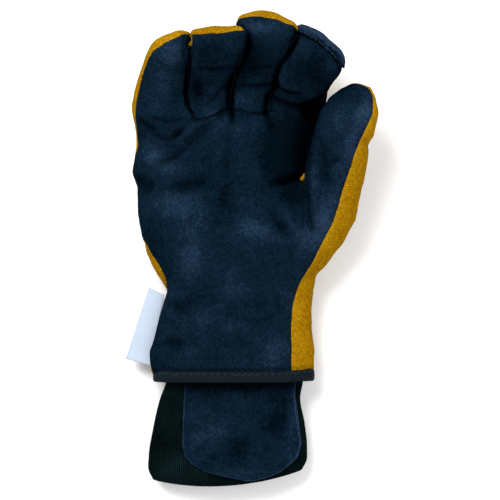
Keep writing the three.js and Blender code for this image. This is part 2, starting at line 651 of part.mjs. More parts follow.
const glove = new THREE.Group();
glove.add(
  node("palm_panel", largest(palm), NAVY),
  node("ring_front", largest(ringFront), NAVY),
  node("middle_front", largest(middleFront), NAVY),
  node("back_panel", largest(back), GOLD),
  node("index_cap", largest(indexCap), NAVY),
  node("hem_binding", largest(binding), BLACK_TAPE),
  node("wristlet", largest(wristlet), BLACK_KNIT),
  node("wrist_tongue", tongue, NAVY),
  node("side_label", label(0), WHITE_TAPE),
  node("crotch_stay", stay(0), GOLD),
);

export default glove;
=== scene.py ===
# The looks of a firefighter's glove for the right hand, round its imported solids.
# Metres. +X points to the thumb side, +Y to the fingertips, +Z up out of the palm.
import math

import bmesh
import bpy
import numpy as np
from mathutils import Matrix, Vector, noise
from mathutils.bvhtree import BVHTree


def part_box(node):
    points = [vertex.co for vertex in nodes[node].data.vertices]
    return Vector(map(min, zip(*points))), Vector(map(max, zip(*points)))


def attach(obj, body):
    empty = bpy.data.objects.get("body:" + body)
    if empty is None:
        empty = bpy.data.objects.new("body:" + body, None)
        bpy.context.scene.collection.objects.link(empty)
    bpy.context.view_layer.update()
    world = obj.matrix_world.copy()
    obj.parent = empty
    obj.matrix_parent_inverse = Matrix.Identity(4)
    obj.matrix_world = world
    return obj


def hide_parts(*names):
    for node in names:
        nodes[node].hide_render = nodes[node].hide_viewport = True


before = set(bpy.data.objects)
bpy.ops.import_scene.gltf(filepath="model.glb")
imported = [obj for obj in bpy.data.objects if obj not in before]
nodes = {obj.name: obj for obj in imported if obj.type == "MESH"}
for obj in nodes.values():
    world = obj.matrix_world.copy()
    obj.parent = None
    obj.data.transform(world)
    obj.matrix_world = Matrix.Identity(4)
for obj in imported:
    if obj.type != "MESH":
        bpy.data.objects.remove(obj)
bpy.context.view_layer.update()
MM = 0.001

# The view: straight down on the palm, fingers up
EYE = Vector((17, -20.4, 2200)) * MM
SEEN_WIDTH = 340 * MM
SEEN_HEIGHT = 30 * MM  # height above the floor at which the frame is that wide
SENSOR = 36

# The suede shell
GRAIN_STEP = 1.2 * MM  # spacing of the points of the leather's skin
SUEDE_THICK = 1.4 * MM
LINING_STEP = 2.2 * MM
LINING_DEPTH = 3.1 * MM  # how far the lining lies under the suede
LINING_LEAST = 2.0 * MM
LINING_THICK = 0.9 * MM
HEM_Y = -109 * MM
LINING_END = -106 * MM
HEM_CUT = -106.5 * MM
CAP_FROM = 30 * MM  # the cap lies past this across the hand
SKIN_PASSES = 24
SEAM_PASSES = 12
SWELL_BACK = -0.52  # each smoothing step is undone by this share of it
SKIN_SWELL = 0.25 * MM
SEAM_ROLL = 2.6 * MM  # width of a turned edge
SEAM_SINK = 1.3 * MM
PLUG_SHARE = (0.94, 0.87)  # of the binding's width and height, filled by the plug
SMALL_PATCH = 700  # a patch of fewer points isn't sewn on its own
FRONTS = ("palm_panel", "ring_front", "middle_front")


def lone(piece):
    bpy.ops.object.select_all(action="DESELECT")
    piece.select_set(True)
    bpy.context.view_layer.objects.active = piece


def new_object(name, data):
    made = bpy.data.objects.new(name, data)
    bpy.context.scene.collection.objects.link(made)
    return made


def mesh_of(name, built):
    """A mesh from one under edit, which is used up."""
    mesh = bpy.data.meshes.new(name)
    built.to_mesh(mesh)
    built.free()
    return mesh


def piece_of(name, verts, faces):
    mesh = bpy.data.meshes.new(name)
    mesh.from_pydata(verts, [], faces)
    mesh.update()
    return new_object(name, mesh)


def face_out(piece):
    lone(piece)
    bpy.ops.object.mode_set(mode="EDIT")
    bpy.ops.mesh.select_all(action="SELECT")
    bpy.ops.mesh.normals_make_consistent(inside=False)
    bpy.ops.object.mode_set(mode="OBJECT")


def delete_from(piece, kind, chosen):
    built = bmesh.new()
    built.from_mesh(piece.data)
    bmesh.ops.delete(built, geom=chosen(built), context=kind)
    built.to_mesh(piece.data)
    built.free()


def apply(piece, kind, **values):
    lone(piece)
    step = piece.modifiers.new(kind, kind)
    for key, value in values.items():
        setattr(step, key, value)
    bpy.ops.object.modifier_apply(modifier=step.name)


def thicken(piece, thick, offset=-1):
    apply(piece, "SOLIDIFY", thickness=thick, offset=offset)


def read(source, field, wide=3, kind=float):
    found = np.empty(len(source) * wide, kind)
    source.foreach_get(field, found)
    return found.reshape(-1, wide)


def points_of(mesh):
    return read(mesh.vertices, "co")


def normals_of(mesh):
    return read(mesh.vertex_normals, "vector")


def edges_of(mesh):
    return read(mesh.edges, "vertices", 2, np.int64)


def place(mesh, points):
    mesh.vertices.foreach_set("co", points.ravel())
    mesh.update()


def relax(values, edges, passes, share=0.5):
    """Evens values out over a mesh: each moves towards the mean of its neighbours."""
    flat = values.ndim == 1
    values = values[:, None].copy() if flat else values.copy()
    count = len(values)
    a, b = edges[:, 0], edges[:, 1]
    degree = np.maximum(np.bincount(a, minlength=count) + np.bincount(b, minlength=count), 1)
    for _ in range(passes):
        for column in range(values.shape[1]):
            kept = values[:, column]
            total = np.bincount(a, kept[b], count) + np.bincount(b, kept[a], count)
            values[:, column] = kept + share * (total / degree - kept)
    return values[:, 0] if flat else values


def even_out(points, edges, passes):
    """Smooths a skin without drawing it in."""
    for _ in range(passes):
        points = relax(points, edges, 1)
        points = relax(points, edges, 1, SWELL_BACK)
    return points


# Camera
camera_data = bpy.data.cameras.new("camera")
camera_data.sensor_width = SENSOR
camera_data.lens = SENSOR * (EYE.z - SEEN_HEIGHT) / SEEN_WIDTH
camera = new_object("camera", camera_data)
camera.location = EYE
bpy.context.scene.camera = camera


# Casts of the solids
def cast_of(*names):
    built = bmesh.new()
    for name in names:
        built.from_mesh(nodes[name].data)
    bmesh.ops.remove_doubles(built, verts=built.verts, dist=1e-6)
    return built


def nearness(points, name):
    built = cast_of(name)
    tree = BVHTree.FromBMesh(built)
    built.free()
    return np.array([tree.find_nearest(Vector(point))[3] for point in points])


def hem_plug():
    """Shuts the wrist opening, so that the skin is drawn over the outside alone."""
    built = cast_of("hem_binding")
    hull = bmesh.ops.convex_hull(built, input=built.verts)
    drop = [g for g in hull["geom_interior"] + hull["geom_unused"] if isinstance(g, bmesh.types.BMVert)]
    bmesh.ops.delete(built, geom=list(set(drop)), context="VERTS")
    lowest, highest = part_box("hem_binding")
    middle = (lowest + highest) / 2
    for vert in built.verts:
        vert.co.x = middle.x + (vert.co.x - middle.x) * PLUG_SHARE[0]
        vert.co.z = middle.z + (vert.co.z - middle.z) * PLUG_SHARE[1]
        vert.co.y = max(vert.co.y, HEM_Y)
    return built


def skin(name, step):
    """One smooth closed skin over the outside of the leather solids."""
    built = cast_of(*FRONTS, "back_panel")
    built.from_mesh(mesh_of("plug", hem_plug()))
    piece = new_object(name, mesh_of(name, built))
    apply(piece, "REMESH", mode="VOXEL", voxel_size=step)
    return piece


form = skin("form", GRAIN_STEP)
raw = points_of(form.data)
edges = edges_of(form.data)
near = {name: nearness(raw, name) for name in (*FRONTS, "back_panel", "index_cap")}


# Places in the view: millimetres as the camera sees them, at the height where the frame is measured.
def seen(points):
    depth = (EYE.z - SEEN_HEIGHT) / (EYE.z - points[:, 2])
    x = (points[:, 0] - EYE.x) * depth + EYE.x
    y = (points[:, 1] - EYE.y) * depth + EYE.y
    return np.stack([x, y], 1) / MM


def to_line(spots, line):
    """Distance of spots from a line of points, the side they lie on, and the share along it."""
    line = np.array(line, float).reshape(-1, 2)
    lengths = np.linalg.norm(np.diff(line, axis=0), axis=1)
    starts = np.concatenate([[0], np.cumsum(lengths)])
    best = np.full(len(spots), 1e9)
    side = np.zeros(len(spots))
    share = np.zeros(len(spots))
    for k in range(len(lengths)):
        a, d = line[k], line[k + 1] - line[k]
        t = np.clip(((spots - a) @ d) / (d @ d), 0, 1)
        off = spots - (a + t[:, None] * d)
        gap = np.linalg.norm(off, axis=1)
        closer = gap < best
        turn = np.sign(d[0] * off[:, 1] - d[1] * off[:, 0])
        best[closer] = gap[closer]
        side[closer] = turn[closer]
        share[closer] = ((starts[k] + t * lengths[k]) / starts[-1])[closer]
    return best, side, share


# Seams
BASE_SEAM = (
    (-29, 76), (-23.8, 70.9), (-19.7, 68.2), (-13.6, 68.7), (-6.5, 71.4), (0.7, 75.5), (5.4, 75.5), (10.9, 74.1),
    (16.3, 72.6), (21.8, 72.3), (27.9, 73.2), (32, 77.5),
)
INDEX_SIDE = (
    (28.6, 66), (28.8, 76), (31, 83.6), (35.5, 90.5), (36.2, 97.9), (39.4, 106.1), (44.4, 111.5), (48.5, 117.6),
    (56, 128.5), (60, 142),
)
CAP_LINE = (
    (40, 131), (49.6, 127.4), (55.8, 125.4), (62.6, 121.8), (69, 117.2), (74.1, 112.4), (77, 107.2), (79.6, 101),
)


def about(spots, x, y, radius):
    """1 at a place in the view, falling off over a radius."""
    return np.exp(-(np.linalg.norm(spots - (x, y), axis=1) / radius) ** 2)


def above(spots, line):
    gap, side, _ = to_line(spots, line)
    return gap * side * MM


spots = seen(raw)
fronts = np.minimum(np.minimum(near["palm_panel"], near["ring_front"]), near["middle_front"])
FIELDS = {
    "gold_seam": near["back_panel"] - fronts,
    "ring_seam": np.minimum(near["palm_panel"], near["middle_front"]) - near["ring_front"],
    "middle_seam": np.minimum(near["palm_panel"], near["ring_front"]) - near["middle_front"],
}
for key in FIELDS:
    FIELDS[key] = relax(FIELDS[key], edges, SEAM_PASSES)
over_seam = above(spots, BASE_SEAM)
FIELDS["ring_seam"] = np.minimum(FIELDS["ring_seam"], over_seam)
FIELDS["middle_seam"] = np.minimum(np.minimum(FIELDS["middle_seam"], over_seam), above(spots, INDEX_SIDE))
# The leather between the digits, seen from the front, is navy
BETWEEN = (
    # x, y, radius, lowest height
    (-25, 112, 7, 30), (-23, 100, 7, 26), (12, 120, 6, 34), (66, 82, 7, 25), (62, 90, 7, 26), (36, 118, 6, 34),
    (47.5, 120.5, 5.5, 36), (54, 33, 9, 12), (-25.5, 118, 4, 32),
)
# Where the gold shows more (below 0) or less of itself
SHIFTS = (
    # x, y, radius, millimetres
    (22, 139, 10, 1.3), (-60.5, 80, 14, -2.3), (-62, 49, 6, -0.8), (-20.8, 123, 4, -2), (-9, 129, 8, -0.6),
    (101.3, 75, 13, 2.2), (97, 90, 6, -1), (-46, 122, 9, -1.6), (-33, 126.5, 6, -2.4), (-17, 126.5, 5, -1.4),
    (4, 130, 6, 0.6), (47.5, 130, 6, -1.6), (30, 139, 8, -0.8),
)
BETWEEN_MOST = 4.5 * MM  # past the seam
seam = FIELDS["gold_seam"]
for x, y, radius, more in SHIFTS:
    seam += more * MM * about(spots, x, y, radius)
first_seam = seam.copy()
for x, y, radius, lowest in BETWEEN:
    inside = (radius - np.linalg.norm(spots - (x, y), axis=1)) * MM
    inside = np.minimum(inside, raw[:, 2] - lowest * MM)
    seam = np.maximum(seam, np.minimum(inside, first_seam + BETWEEN_MOST))
FIELDS["gold_seam"] = relax(seam, edges, 5)
CAP_NEAR = 4 * MM
on_index = near["index_cap"] < CAP_NEAR
FIELDS["cap_edge"] = np.where(on_index, above(spots, CAP_LINE), -CAP_NEAR)


def patches(kinds, edges):
    """A number for each connected patch of points of one kind."""
    same = edges[kinds[edges[:, 0]] == kinds[edges[:, 1]]]
    numbers = np.arange(len(kinds))
    while True:
        lower = np.minimum(numbers[same[:, 0]], numbers[same[:, 1]])
        before = numbers.copy()
        np.minimum.at(numbers, same[:, 0], lower)
        np.minimum.at(numbers, same[:, 1], lower)
        numbers = numbers[numbers]
        if (numbers == before).all():
            return numbers


def small_patches(kinds):
    numbers = patches(kinds, edges)
    return np.bincount(numbers, minlength=len(kinds))[numbers] < SMALL_PATCH


TO_OTHER = 0.4 * MM  # a lost patch goes this far over to the leather round it
gold = FIELDS["gold_seam"] <= 0
lost = small_patches(gold)
FIELDS["gold_seam"] = np.where(lost, np.where(gold, TO_OTHER, -TO_OTHER), FIELDS["gold_seam"])
for _ in range(2):
    gold = FIELDS["gold_seam"] <= 0
    kinds = np.where(gold, 0, np.where(FIELDS["ring_seam"] > 0, 1, np.where(FIELDS["middle_seam"] > 0, 2, 3)))
    lost = small_patches(kinds) & ~gold
    palm_lost, finger_lost = lost & (kinds == 3), lost & (kinds != 3)
    to_ring = FIELDS["ring_seam"] > FIELDS["middle_seam"]
    for key, mine in (("ring_seam", to_ring), ("middle_seam", ~to_ring)):
        FIELDS[key] = np.where(palm_lost & mine, TO_OTHER, FIELDS[key])
        FIELDS[key] = np.where(finger_lost, -TO_OTHER, FIELDS[key])

smooth = even_out(raw, edges, SKIN_PASSES)
place(form.data, smooth)
place(form.data, smooth + normals_of(form.data) * SKIN_SWELL)


# The set of the worn leather: where its outline stands out or in from the cut shape
PULLS = (
    # x, y, radius, across, up, out, whose
    (-37, 128.5, 9, 0, -3, 0, ""), (-14, 132, 6, 0, -1.3, 0, "ring_front"),
    (47.8, 127.6, 5, 2.5, -0.6, 0, "middle_front"), (50, 127, 4, -1.2, 0, 0, "index"),
    (-48, 124, 8.5, 2.9, -2.7, 0, ""), (-61, 80, 15, -2.3, 0, 0, ""), (-25.8, 124.6, 4.5, 1.9, 2.2, 0, "little"),
    (-19.7, 127.2, 4.5, -3, 0.6, 0, "ring_front"), (-19.7, 108.8, 10, -1.5, 0, 0, "ring_front"),
    (8.5, 128, 7.5, 3.4, 3.6, 5, "ring_front"), (7.5, 98.6, 9, -1.6, 0, 0, ""),
    (10.9, 137, 5.5, -3.4, 0, 0, "middle_front"), (10, 127, 6, 1, 0, -4, "middle_front"),
    (43, 138, 7, -0.4, -2.6, 0, "middle_front"), (51.7, 129.9, 5, -1, 2.6, 0, "index"),
    (72.1, 122.4, 8, -0.9, -0.8, 0, ""), (76.2, 100.5, 7, 3.4, -0.6, 0, ""), (75, 94.5, 5, 1.8, 0, 0, "index"),
    (96.6, 87.4, 7, 2.2, 1.4, 0, ""), (94.5, 32.6, 17, 2.8, 0, 0, ""), (90, 94, 7, 0.6, 1.8, 0, ""),
    (99, 51, 4.5, -2, 0, 0, ""), (97, 40.5, 5, 0.6, 0, 0, ""), (88, 1, 10, 1.6, -0.3, 0, ""),
    (-51, -96, 9, -1.8, 0, 0, ""),
)
nearest = np.argmin(np.stack([near[name] for name in FRONTS]), 0)
OWNERS = {
    "": np.ones(len(raw)),
    "ring_front": nearest == 1,
    "middle_front": nearest == 2,
    "little": (nearest == 0) & (raw[:, 0] < -20 * MM),
    "index": (nearest == 0) & (raw[:, 0] > 40 * MM),
}


def pull(points):
    spots = seen(points)
    shift = np.zeros_like(points)
    for x, y, radius, across, up, out, whose in PULLS:
        near_by = about(spots, x, y, radius) * OWNERS[whose]
        shift += near_by[:, None] * (across, up, out)
    return points + relax(shift, edges, 3) * MM


place(form.data, pull(points_of(form.data)))


# Fingers that lie side by side press on each other
PRESS_FROM = 70 * MM
PRESS_TO = 58 * MM  # the thumb is left as it is
PRESS_REACH = 9 * MM
PRESS_GAP = 0.16 * MM
RAY_LIFT = 0.05 * MM
LEVEL_LEAST = 0.35  # points that face up or down more than this aren't pressed
FACING_MOST = -0.3  # a finger is met where its side faces back
STEEP_FROM, STEEP_OVER = 0.8, 0.45  # the press dies out towards the top of a finger


def faces_of(mesh):
    return [tuple(face.vertices) for face in mesh.polygons]


def press_fingers(piece, faces, rounds):
    for _ in range(rounds):
        points, normals = points_of(piece.data), normals_of(piece.data)
        tree = BVHTree.FromPolygons([Vector(p) for p in points], faces)
        level = normals.copy()
        level[:, 2] = 0
        size = np.linalg.norm(level, axis=1)
        shift = np.zeros_like(points)
        beside = (points[:, 1] > PRESS_FROM) & (points[:, 0] < PRESS_TO) & (size > LEVEL_LEAST)
        for i in np.nonzero(beside)[0]:
            way = level[i] / size[i]
            start = points[i] + normals[i] * RAY_LIFT
            _, normal, _, gap = tree.ray_cast(Vector(start), Vector(way), PRESS_REACH)
            if gap is not None and normal.x * way[0] + normal.y * way[1] < FACING_MOST:
                steep = min(max((STEEP_FROM - normals[i][2]) / STEEP_OVER, 0), 1)
                shift[i] = way * max(gap / 2 - PRESS_GAP, 0) * steep
        place(piece.data, points + relax(shift, edges, 4))


form_faces = faces_of(form.data)
press_fingers(form, form_faces, 3)


# Turned edges: the leather dips in along each seam
def roll_seams(points, normals):
    sink = np.zeros(len(points))
    for key in ("gold_seam", "ring_seam", "middle_seam"):
        away = np.clip(np.abs(FIELDS[key]) / SEAM_ROLL, 0, 1)
        sink = np.maximum(sink, 1 - np.sqrt(np.clip(1 - (1 - away) ** 2, 0, 1)))
    return points - normals * (sink * SEAM_SINK)[:, None]


place(form.data, roll_seams(points_of(form.data), normals_of(form.data)))

# Folds of the leather. wide, deep: millimetres. sharp: 2 is a soft valley and 1 a tight crease.
# tone: how dark the painted shade along it lies. low, high: heights between which it is found. line: x, y of its
# places in the view.
FOLDS = (
    # wide, deep, sharp, tone, low, high, line
    # between the fingers, with painted shade in the crevices
    (1.2, 1.4, 3, 1.5, 14, 90, (-24.1, 126.5, -24.1, 108.1, -25.6, 97.6, -26.7, 87.2, -25.6, 78.9, -21, 70.1)),
    (2, 1.6, 3, 1.5, 14, 90, (15.8, 127, 16.2, 118.3, 12.9, 110.2, 8.4, 103.8, 5, 95.5, 3.5, 87, 3, 73.6)),
    (1.6, 1.5, 3, 1.4, 14, 90, (
        50, 128.5, 45.6, 117.6, 42.2, 111.5, 37.4, 106.1, 34.7, 97.9, 33.7, 89.8, 29.2, 83.6, 27.5, 72.2,
    )),
    # little finger
    (1.1, 0.9, 1.3, 0.55, 20, 90, (-51.5, 69.6, -45, 68.2, -38.6, 67.4, -33, 68, -27.3, 69.8)),
    (1.6, 1.5, 1.3, 0.85, 20, 90, (-61, 69.4, -56.5, 66.4, -52, 63.6, -46.5, 61.4)),
    (1.2, 1.2, 1.3, 0.75, 20, 90, (-50, 58.6, -43, 55.9, -38, 55.4, -33.8, 57.2, -28.5, 62)),
    (1.8, 1.2, 1.6, 0.35, 20, 90, (-36, 57.5, -29, 62.5, -23.8, 69)),
    (1.9, -1.2, 1.8, -0.34, 20, 90, (-48.5, 53.4, -38, 51.8, -29, 55, -19, 63.6, -8, 69.4)),
    (2.4, 1.1, 1.8, 0.35, 15, 90, (-63.5, 60.5, -59, 56.8, -54, 54.8)),
    # ring finger
    (1.2, 1.1, 1.2, 0.6, 30, 90, (-20.4, 102.3, -13.6, 101.7, -6.8, 101.8, 0, 102.7, 4.8, 104)),
    (3, 1, 1.8, 0.6, 30, 90, (-21.1, 92.5, -19, 87, -17, 83)),
    (1.6, 1.2, 1.3, 0.6, 30, 90, (4.1, 95.9, 0.7, 90.4, -5.4, 84.3, -12.9, 78.9)),
    # middle finger
    (1.1, 0.7, 1.2, 0.4, 30, 90, (8.2, 107.4, 15.6, 108.5, 21.8, 109.8)),
    (1.1, 0.8, 1.2, 0.5, 30, 90, (14.3, 101.6, 22.4, 102.7, 31.9, 105.1)),
    (1.4, 1.3, 1.2, 0.7, 30, 90, (6.2, 90.9, 17, 90.6, 24.5, 91.1, 34, 92.9)),
    # index finger
    (1.3, 2, 1.4, 0.75, 30, 90, (34, 96.5, 36, 90.4, 40.1, 86.7, 46, 85.4, 53, 85.4)),
    (1.6, 2.2, 1.4, 0.95, 20, 90, (29.3, 85, 36.7, 80, 42.8, 77.9, 49, 77, 55.8, 77.6, 61.9, 80.6, 70, 85.6)),
    (1.6, 1.3, 1.3, 0.8, 20, 90, (28.6, 73.4, 29.9, 66.6, 32.3, 60.5)),
    (2.6, -1.1, 1.8, -0.2, 20, 60, (42.2, 76.5, 49, 72.1, 56.4, 66.6, 63.2, 60.5)),
    (4.5, 2.4, 2, 1, 20, 60, (51, 75.5, 57.8, 73.2, 65.9, 72.6)),
    # seam at the roots of the ring and middle fingers
    (0.9, 0.7, 2, 0.75, 20, 90, (-23.8, 70.7, -19.7, 68, -13.6, 68.5, -6.5, 71.2, 0.7, 75.3)),
    (0.9, 0.6, 2, 0.6, 20, 90, (5.4, 75.3, 10.9, 73.9, 16.3, 72.4, 21.8, 72.1, 28.9, 73.4)),
    # edge of the fingertip cap with painted shade in its groove, and a painted shadow line above the binding
    (0.9, 0.8, 2, 0.9, 20, 90, (
        47, 129.5, 49.6, 127.4, 55.8, 125.4, 62.6, 121.8, 69, 117.2, 74.1, 112.4, 77, 107.2, 79.6, 101, 80.4, 97,
    )),
    (1, 0.5, 2, 0.55, 15, 90, (-60, -102.4, 0, -102.2, 36, -102, 58, -100.3, 70, -100.3)),
    (1, -0.5, 2, -0.3, 20, 90, (2.4, 74.6, 1.2, 68.4, -0.8, 62.4)),
    (0.9, -0.4, 2, -0.3, 20, 90, (9, 77, 14, 75, 20, 74, 26.5, 74.4)),
    (0.9, -0.4, 2, -0.25, 20, 90, (-21.6, 71.6, -16, 70.6, -8.6, 72.6, -1.6, 76.6)),
    (1, -0.6, 2, -0.25, 20, 90, (35, 79.4, 42, 75.6, 50, 72.4, 58.5, 67.4)),
    # palm
    (1.8, 1.5, 1.8, 0.55, 20, 90, (55.4, 28, 55.2, 17, 55.6, 7, 56.6, -1, 59.4, -9)),
    (1.5, 1, 1.5, 0.5, 20, 90, (-46, 38.4, -38, 40.8, -31.6, 44.6, -25.6, 49.4)),
    (1.6, 0.8, 1.6, 0.3, 20, 90, (-36, 48.6, -27, 53, -19, 59.6, -10, 64.4)),
    (1.8, -0.6, 2, -0.15, 20, 90, (-50, 43, -41, 45, -33, 49.4, -25, 54)),
    (1.2, 1.4, 1.3, 0.85, 20, 90, (4.2, 75.6, 4.9, 70.7, 4.6, 65.6)),
    (2.2, 0.5, 1.8, 0.3, 20, 90, (3.4, 66.6, 2, 47.6, 0.7, 27.2, -0.7, 10.2)),
    (3.6, 1.6, 1.8, 0.3, 20, 90, (2.7, 72.1, -6.8, 66, -17, 59.8, -27.2, 52.4, -37.4, 44.2, -46.2, 38.8)),
    (4, -1.2, 2, -0.2, 20, 90, (4.1, 63.6, -7.5, 55.5, -19.7, 47.3, -30.6, 39.2)),
    (4, 2.2, 2, 0.6, 15, 90, (-62.5, 27.5, -55.1, 24.5, -48.3, 21.4)),
    (4, 1.9, 2, 0.55, 20, 90, (-34.6, 22.1, -23.8, 25.2, -11.6, 28.4)),
    (2.4, 3.6, 1.5, 1, 20, 48, (58.1, 33, 48.3, 29.2, 40.8, 26.9, 30, 23.4)),
    (6, 2.2, 2, 0.9, 20, 48, (53, 33.4, 54.4, 47.6, 58.5, 59.8, 64.6, 73.4)),
    (4.5, -0.9, 2, -0.1, 20, 90, (7.5, -5.4, 12.2, -2, 18.4, -0.7)),
    (3.6, -1.2, 2, -0.15, 20, 90, (38.1, 14.9, 42.8, 8.2, 49, -1)),
    (2, 1.2, 1.5, 0.5, 30, 90, (68.6, 51, 67, 43.5, 68.4, 33, 70.5, 24)),
    (1.3, 0.6, 1.4, 0.35, 30, 90, (70, 38, 75.5, 40.5, 81, 42.6)),
    (1.4, 0.7, 1.5, 0.3, 10, 90, (92, 56, 96, 51.5, 100.5, 50)),
    # wrist and cuff
    (3, 1.2, 1.8, 0.35, 10, 90, (-44.1, -47.6, -38, -56.4, -30.6, -61.2, -22, -62)),
    (3, 0.9, 1.8, 0.2, 10, 90, (56, -52, 46, -57, 34, -58)),
    (2.4, 0.8, 1.8, 0.25, 10, 90, (-8, -63, 4, -66, 17, -69.5, 30, -69)),
    (2, 0.7, 1.8, 0.2, 10, 90, (-33, -70, -22, -74, -10, -75)),
    (1.8, 1, 1.5, 0.5, 20, 90, (-39.8, -83.9, -34.7, -83, -28.9, -83.6)),
    (5, 0.8, 2, 0.15, 20, 90, (-12, -88, 4, -84, 22, -87)),
)
LIP = 0.12  # height of the rim beside a fold, as a share of its depth
LIP_AT = 2.1  # in widths of the fold
RUN_OUT = 0.14  # share of a fold's length over which it ends
FADE = 3  # millimetres of height over which it starts and stops


def folds_and_painted_shade(points, normals):
    """The points moved by the folds, and how dark the painted shade of the folds lies at each."""
    spots = seen(points)
    height = points[:, 2] / MM
    facing = np.clip((normals[:, 2] - 0.02) / 0.3, 0, 1)
    sink = np.zeros(len(points))
    tone = np.zeros(len(points))
    for wide, deep, sharp, painted_shade, low, high, line in FOLDS:
        gap, _, share = to_line(spots, line)
        ends = np.clip(np.minimum(share, 1 - share) / RUN_OUT, 0, 1) ** 0.7
        inside = np.clip((height - low) / FADE, 0, 1) * np.clip((high - height) / FADE, 0, 1)
        reach = ends * inside * facing
        valley = np.exp(-((gap / wide) ** sharp))
        rim = np.exp(-(((gap - LIP_AT * wide) / wide) ** 2))
        sink += reach * deep * (valley - LIP * rim)
        spread = 1.5 * wide if sharp < 3 else 1.15 * wide
        tone += inside * facing * painted_shade * np.exp(-((gap / spread) ** max(sharp, 1.5))) * (0.3 + 0.7 * ends)
    return points - normals * (sink * MM)[:, None], tone


def uneven(points, sizes):
    """A soft unevenness of several sizes and heights."""
    total = np.zeros(len(points))
    for step, high in sizes:
        offset = Vector((3.7 * step, 1.3, 0.7))
        total += high * np.array([noise.noise(Vector(p) / (step * MM) + offset) for p in points])
    return total * MM


normals = relax(normals_of(form.data), edges, 3)
folded, fold_painted_shade = folds_and_painted_shade(points_of(form.data), normals)
UNEVEN = ((34, 1.5), (15, 0.7), (6, 0.22))  # size and height, in millimetres
place(form.data, folded + normals * uneven(folded, UNEVEN)[:, None])

# Lighter and darker patches of the suede: partly where the nap lies over or stands, partly painted highlights and
# painted shade
NAP_AND_PAINTED_LIGHT = (
    # x, y, across, along, turn, strength
    (-34.1, 10.3, 17, 11, 0, 0.62), (-22.9, -24.7, 9, 17, 5, 0.6), (15.4, -5.4, 13, 8, 20, 0.5),
    (30.6, -9.7, 12, 6, 20, 0.4), (46.5, -3, 5, 17, -36, 0.5), (66, -0.7, 7, 18, -20, 0.55),
    (-15, -65.3, 18, 9, 10, 0.35), (35.8, -91.1, 10, 12, 0, 0.65), (-23.1, -92.5, 14, 8, 0, 0.3),
    (43, -53, 6, 14, -20, 0.3), (4, -45, 16, 12, 0, 0.2), (-40, -53.7, 5, 8, 0, 0.3), (-36.7, 117, 10, 14, 10, 0.5),
    (-45.6, 92, 10, 13, 10, 0.4), (-40, 74, 12, 5, 0, 0.1), (54, 82, 10, 5, 0, 0.35), (-9, 112, 12, 14, 0, -0.5),
    (-20.6, 72.8, 9, 4, 10, 0.3), (22.2, 131, 10, 4, 0, 0.55), (12, 84, 9, 6, 0, 0.28), (60, 104, 17, 15, 0, -0.6),
    (52, 116, 8, 5, -30, 0.3), (44, 92, 8, 6, 0, 0.2), (96, 73, 6, 12, 15, 0.75), (85, 88, 7, 4, 0, -0.25),
    (85, 50, 6, 16, 16, 0.6), (77, 68, 7, 13, 15, 0.35), (38.4, 97, 2.5, 9, 0, 0.4), (72, 103, 5, 9, 30, 0.4),
    (60.5, 33, 3, 17, 4, 0.5), (59.2, 58.5, 4, 14, 15, 0.4), (73, 12, 6, 17, 20, 0.55), (60.5, -12, 7, 9, 20, 0.45),
    (-51, 44.9, 10, 8, 0, 0.45), (-40, 36, 14, 6, 30, 0.35), (-6.8, 68.4, 9, 4, 30, 0.35), (14, 60, 12, 5, 0, 0.15),
    (10.9, -127, 26, 5, 0, 0.15), (-7.7, -144.8, 14, 12, 0, 0.35), (46, -139.4, 5, 16, 10, 0.5),
    (45.6, -159, 7, 9, 0, 0.35), (4.1, -172, 22, 4, 0, 0.4), (-20, -150, 7, 16, 0, 0.3),
    (-1.4, 10, 9, 16, 0, -0.35), (-13.9, -49.5, 12, 7, 0, -0.4), (-28.6, -57.1, 9, 6, 0, -0.4),
    (-34.1, -84.3, 7, 5, 0, -0.5), (10.9, -58.5, 18, 6, 0, -0.3), (44.9, 50.3, 16, 26, 10, -1),
    (30, 40, 12, 20, 0, -0.4), (-30, 24, 14, 5, 0, -0.4), (-13.6, -94, 12, 4, 0, -0.3), (-18, 90, 8, 10, 0, -0.45),
    (20, 112, 10, 13, 0, -0.55), (14, 98, 8, 8, 0, -0.4), (46, 96, 9, 7, 0, -0.3), (10, -113, 34, 5, 0, -0.5),
    (10, -153, 9, 8, 0, -0.35), (36, -133, 7, 14, 0, -0.45), (46.8, 15.6, 9, 7, 0, -0.5),
    (37.6, -3.9, 4, 7, -30, -0.6), (-50, -14, 9, 18, 5, -0.4), (-9, 42, 10, 16, -20, -0.25),
    (58, 68, 8, 6, -30, -0.3),
)


def nap_and_painted_light_of(points):
    spots = seen(points)
    total = np.zeros(len(points))
    for x, y, across, along, turn, strength in NAP_AND_PAINTED_LIGHT:
        c, s = math.cos(math.radians(turn)), math.sin(math.radians(turn))
        dx, dy = spots[:, 0] - x, spots[:, 1] - y
        u, v = (dx * c - dy * s) / across, (dx * s + dy * c) / along
        total += strength * np.exp(-(u**2) - v**2)
    return total


SKY = [
    Vector((math.sin(tilt) * math.cos(turn), math.sin(tilt) * math.sin(turn), math.cos(tilt)))
    for tilt, count in ((0.35, 4), (0.8, 7), (1.2, 5))
    for turn in np.linspace(0, 2 * math.pi, count + 1)[:-1] + tilt
]


def shut_in(points, normals, tree, reach):
    """How far each point is shut in by the leather round it, from 0 to 1."""
    found = np.zeros(len(points))
    for i in np.nonzero(normals[:, 2] > -0.5)[0]:
        normal = Vector(normals[i])
        start = Vector(points[i]) + normal * 0.5 * MM
        ways = [way for way in SKY if way.dot(normal) > 0.05]
        hits = sum(tree.ray_cast(start, way, reach)[0] is not None for way in ways)
        found[i] = hits / max(len(ways), 1)
    return found


def keep_values(mesh, name, values):
    layer = mesh.attributes.get(name) or mesh.attributes.new(name, "FLOAT", "POINT")
    layer.data.foreach_set("value", np.asarray(values, dtype=np.float32))


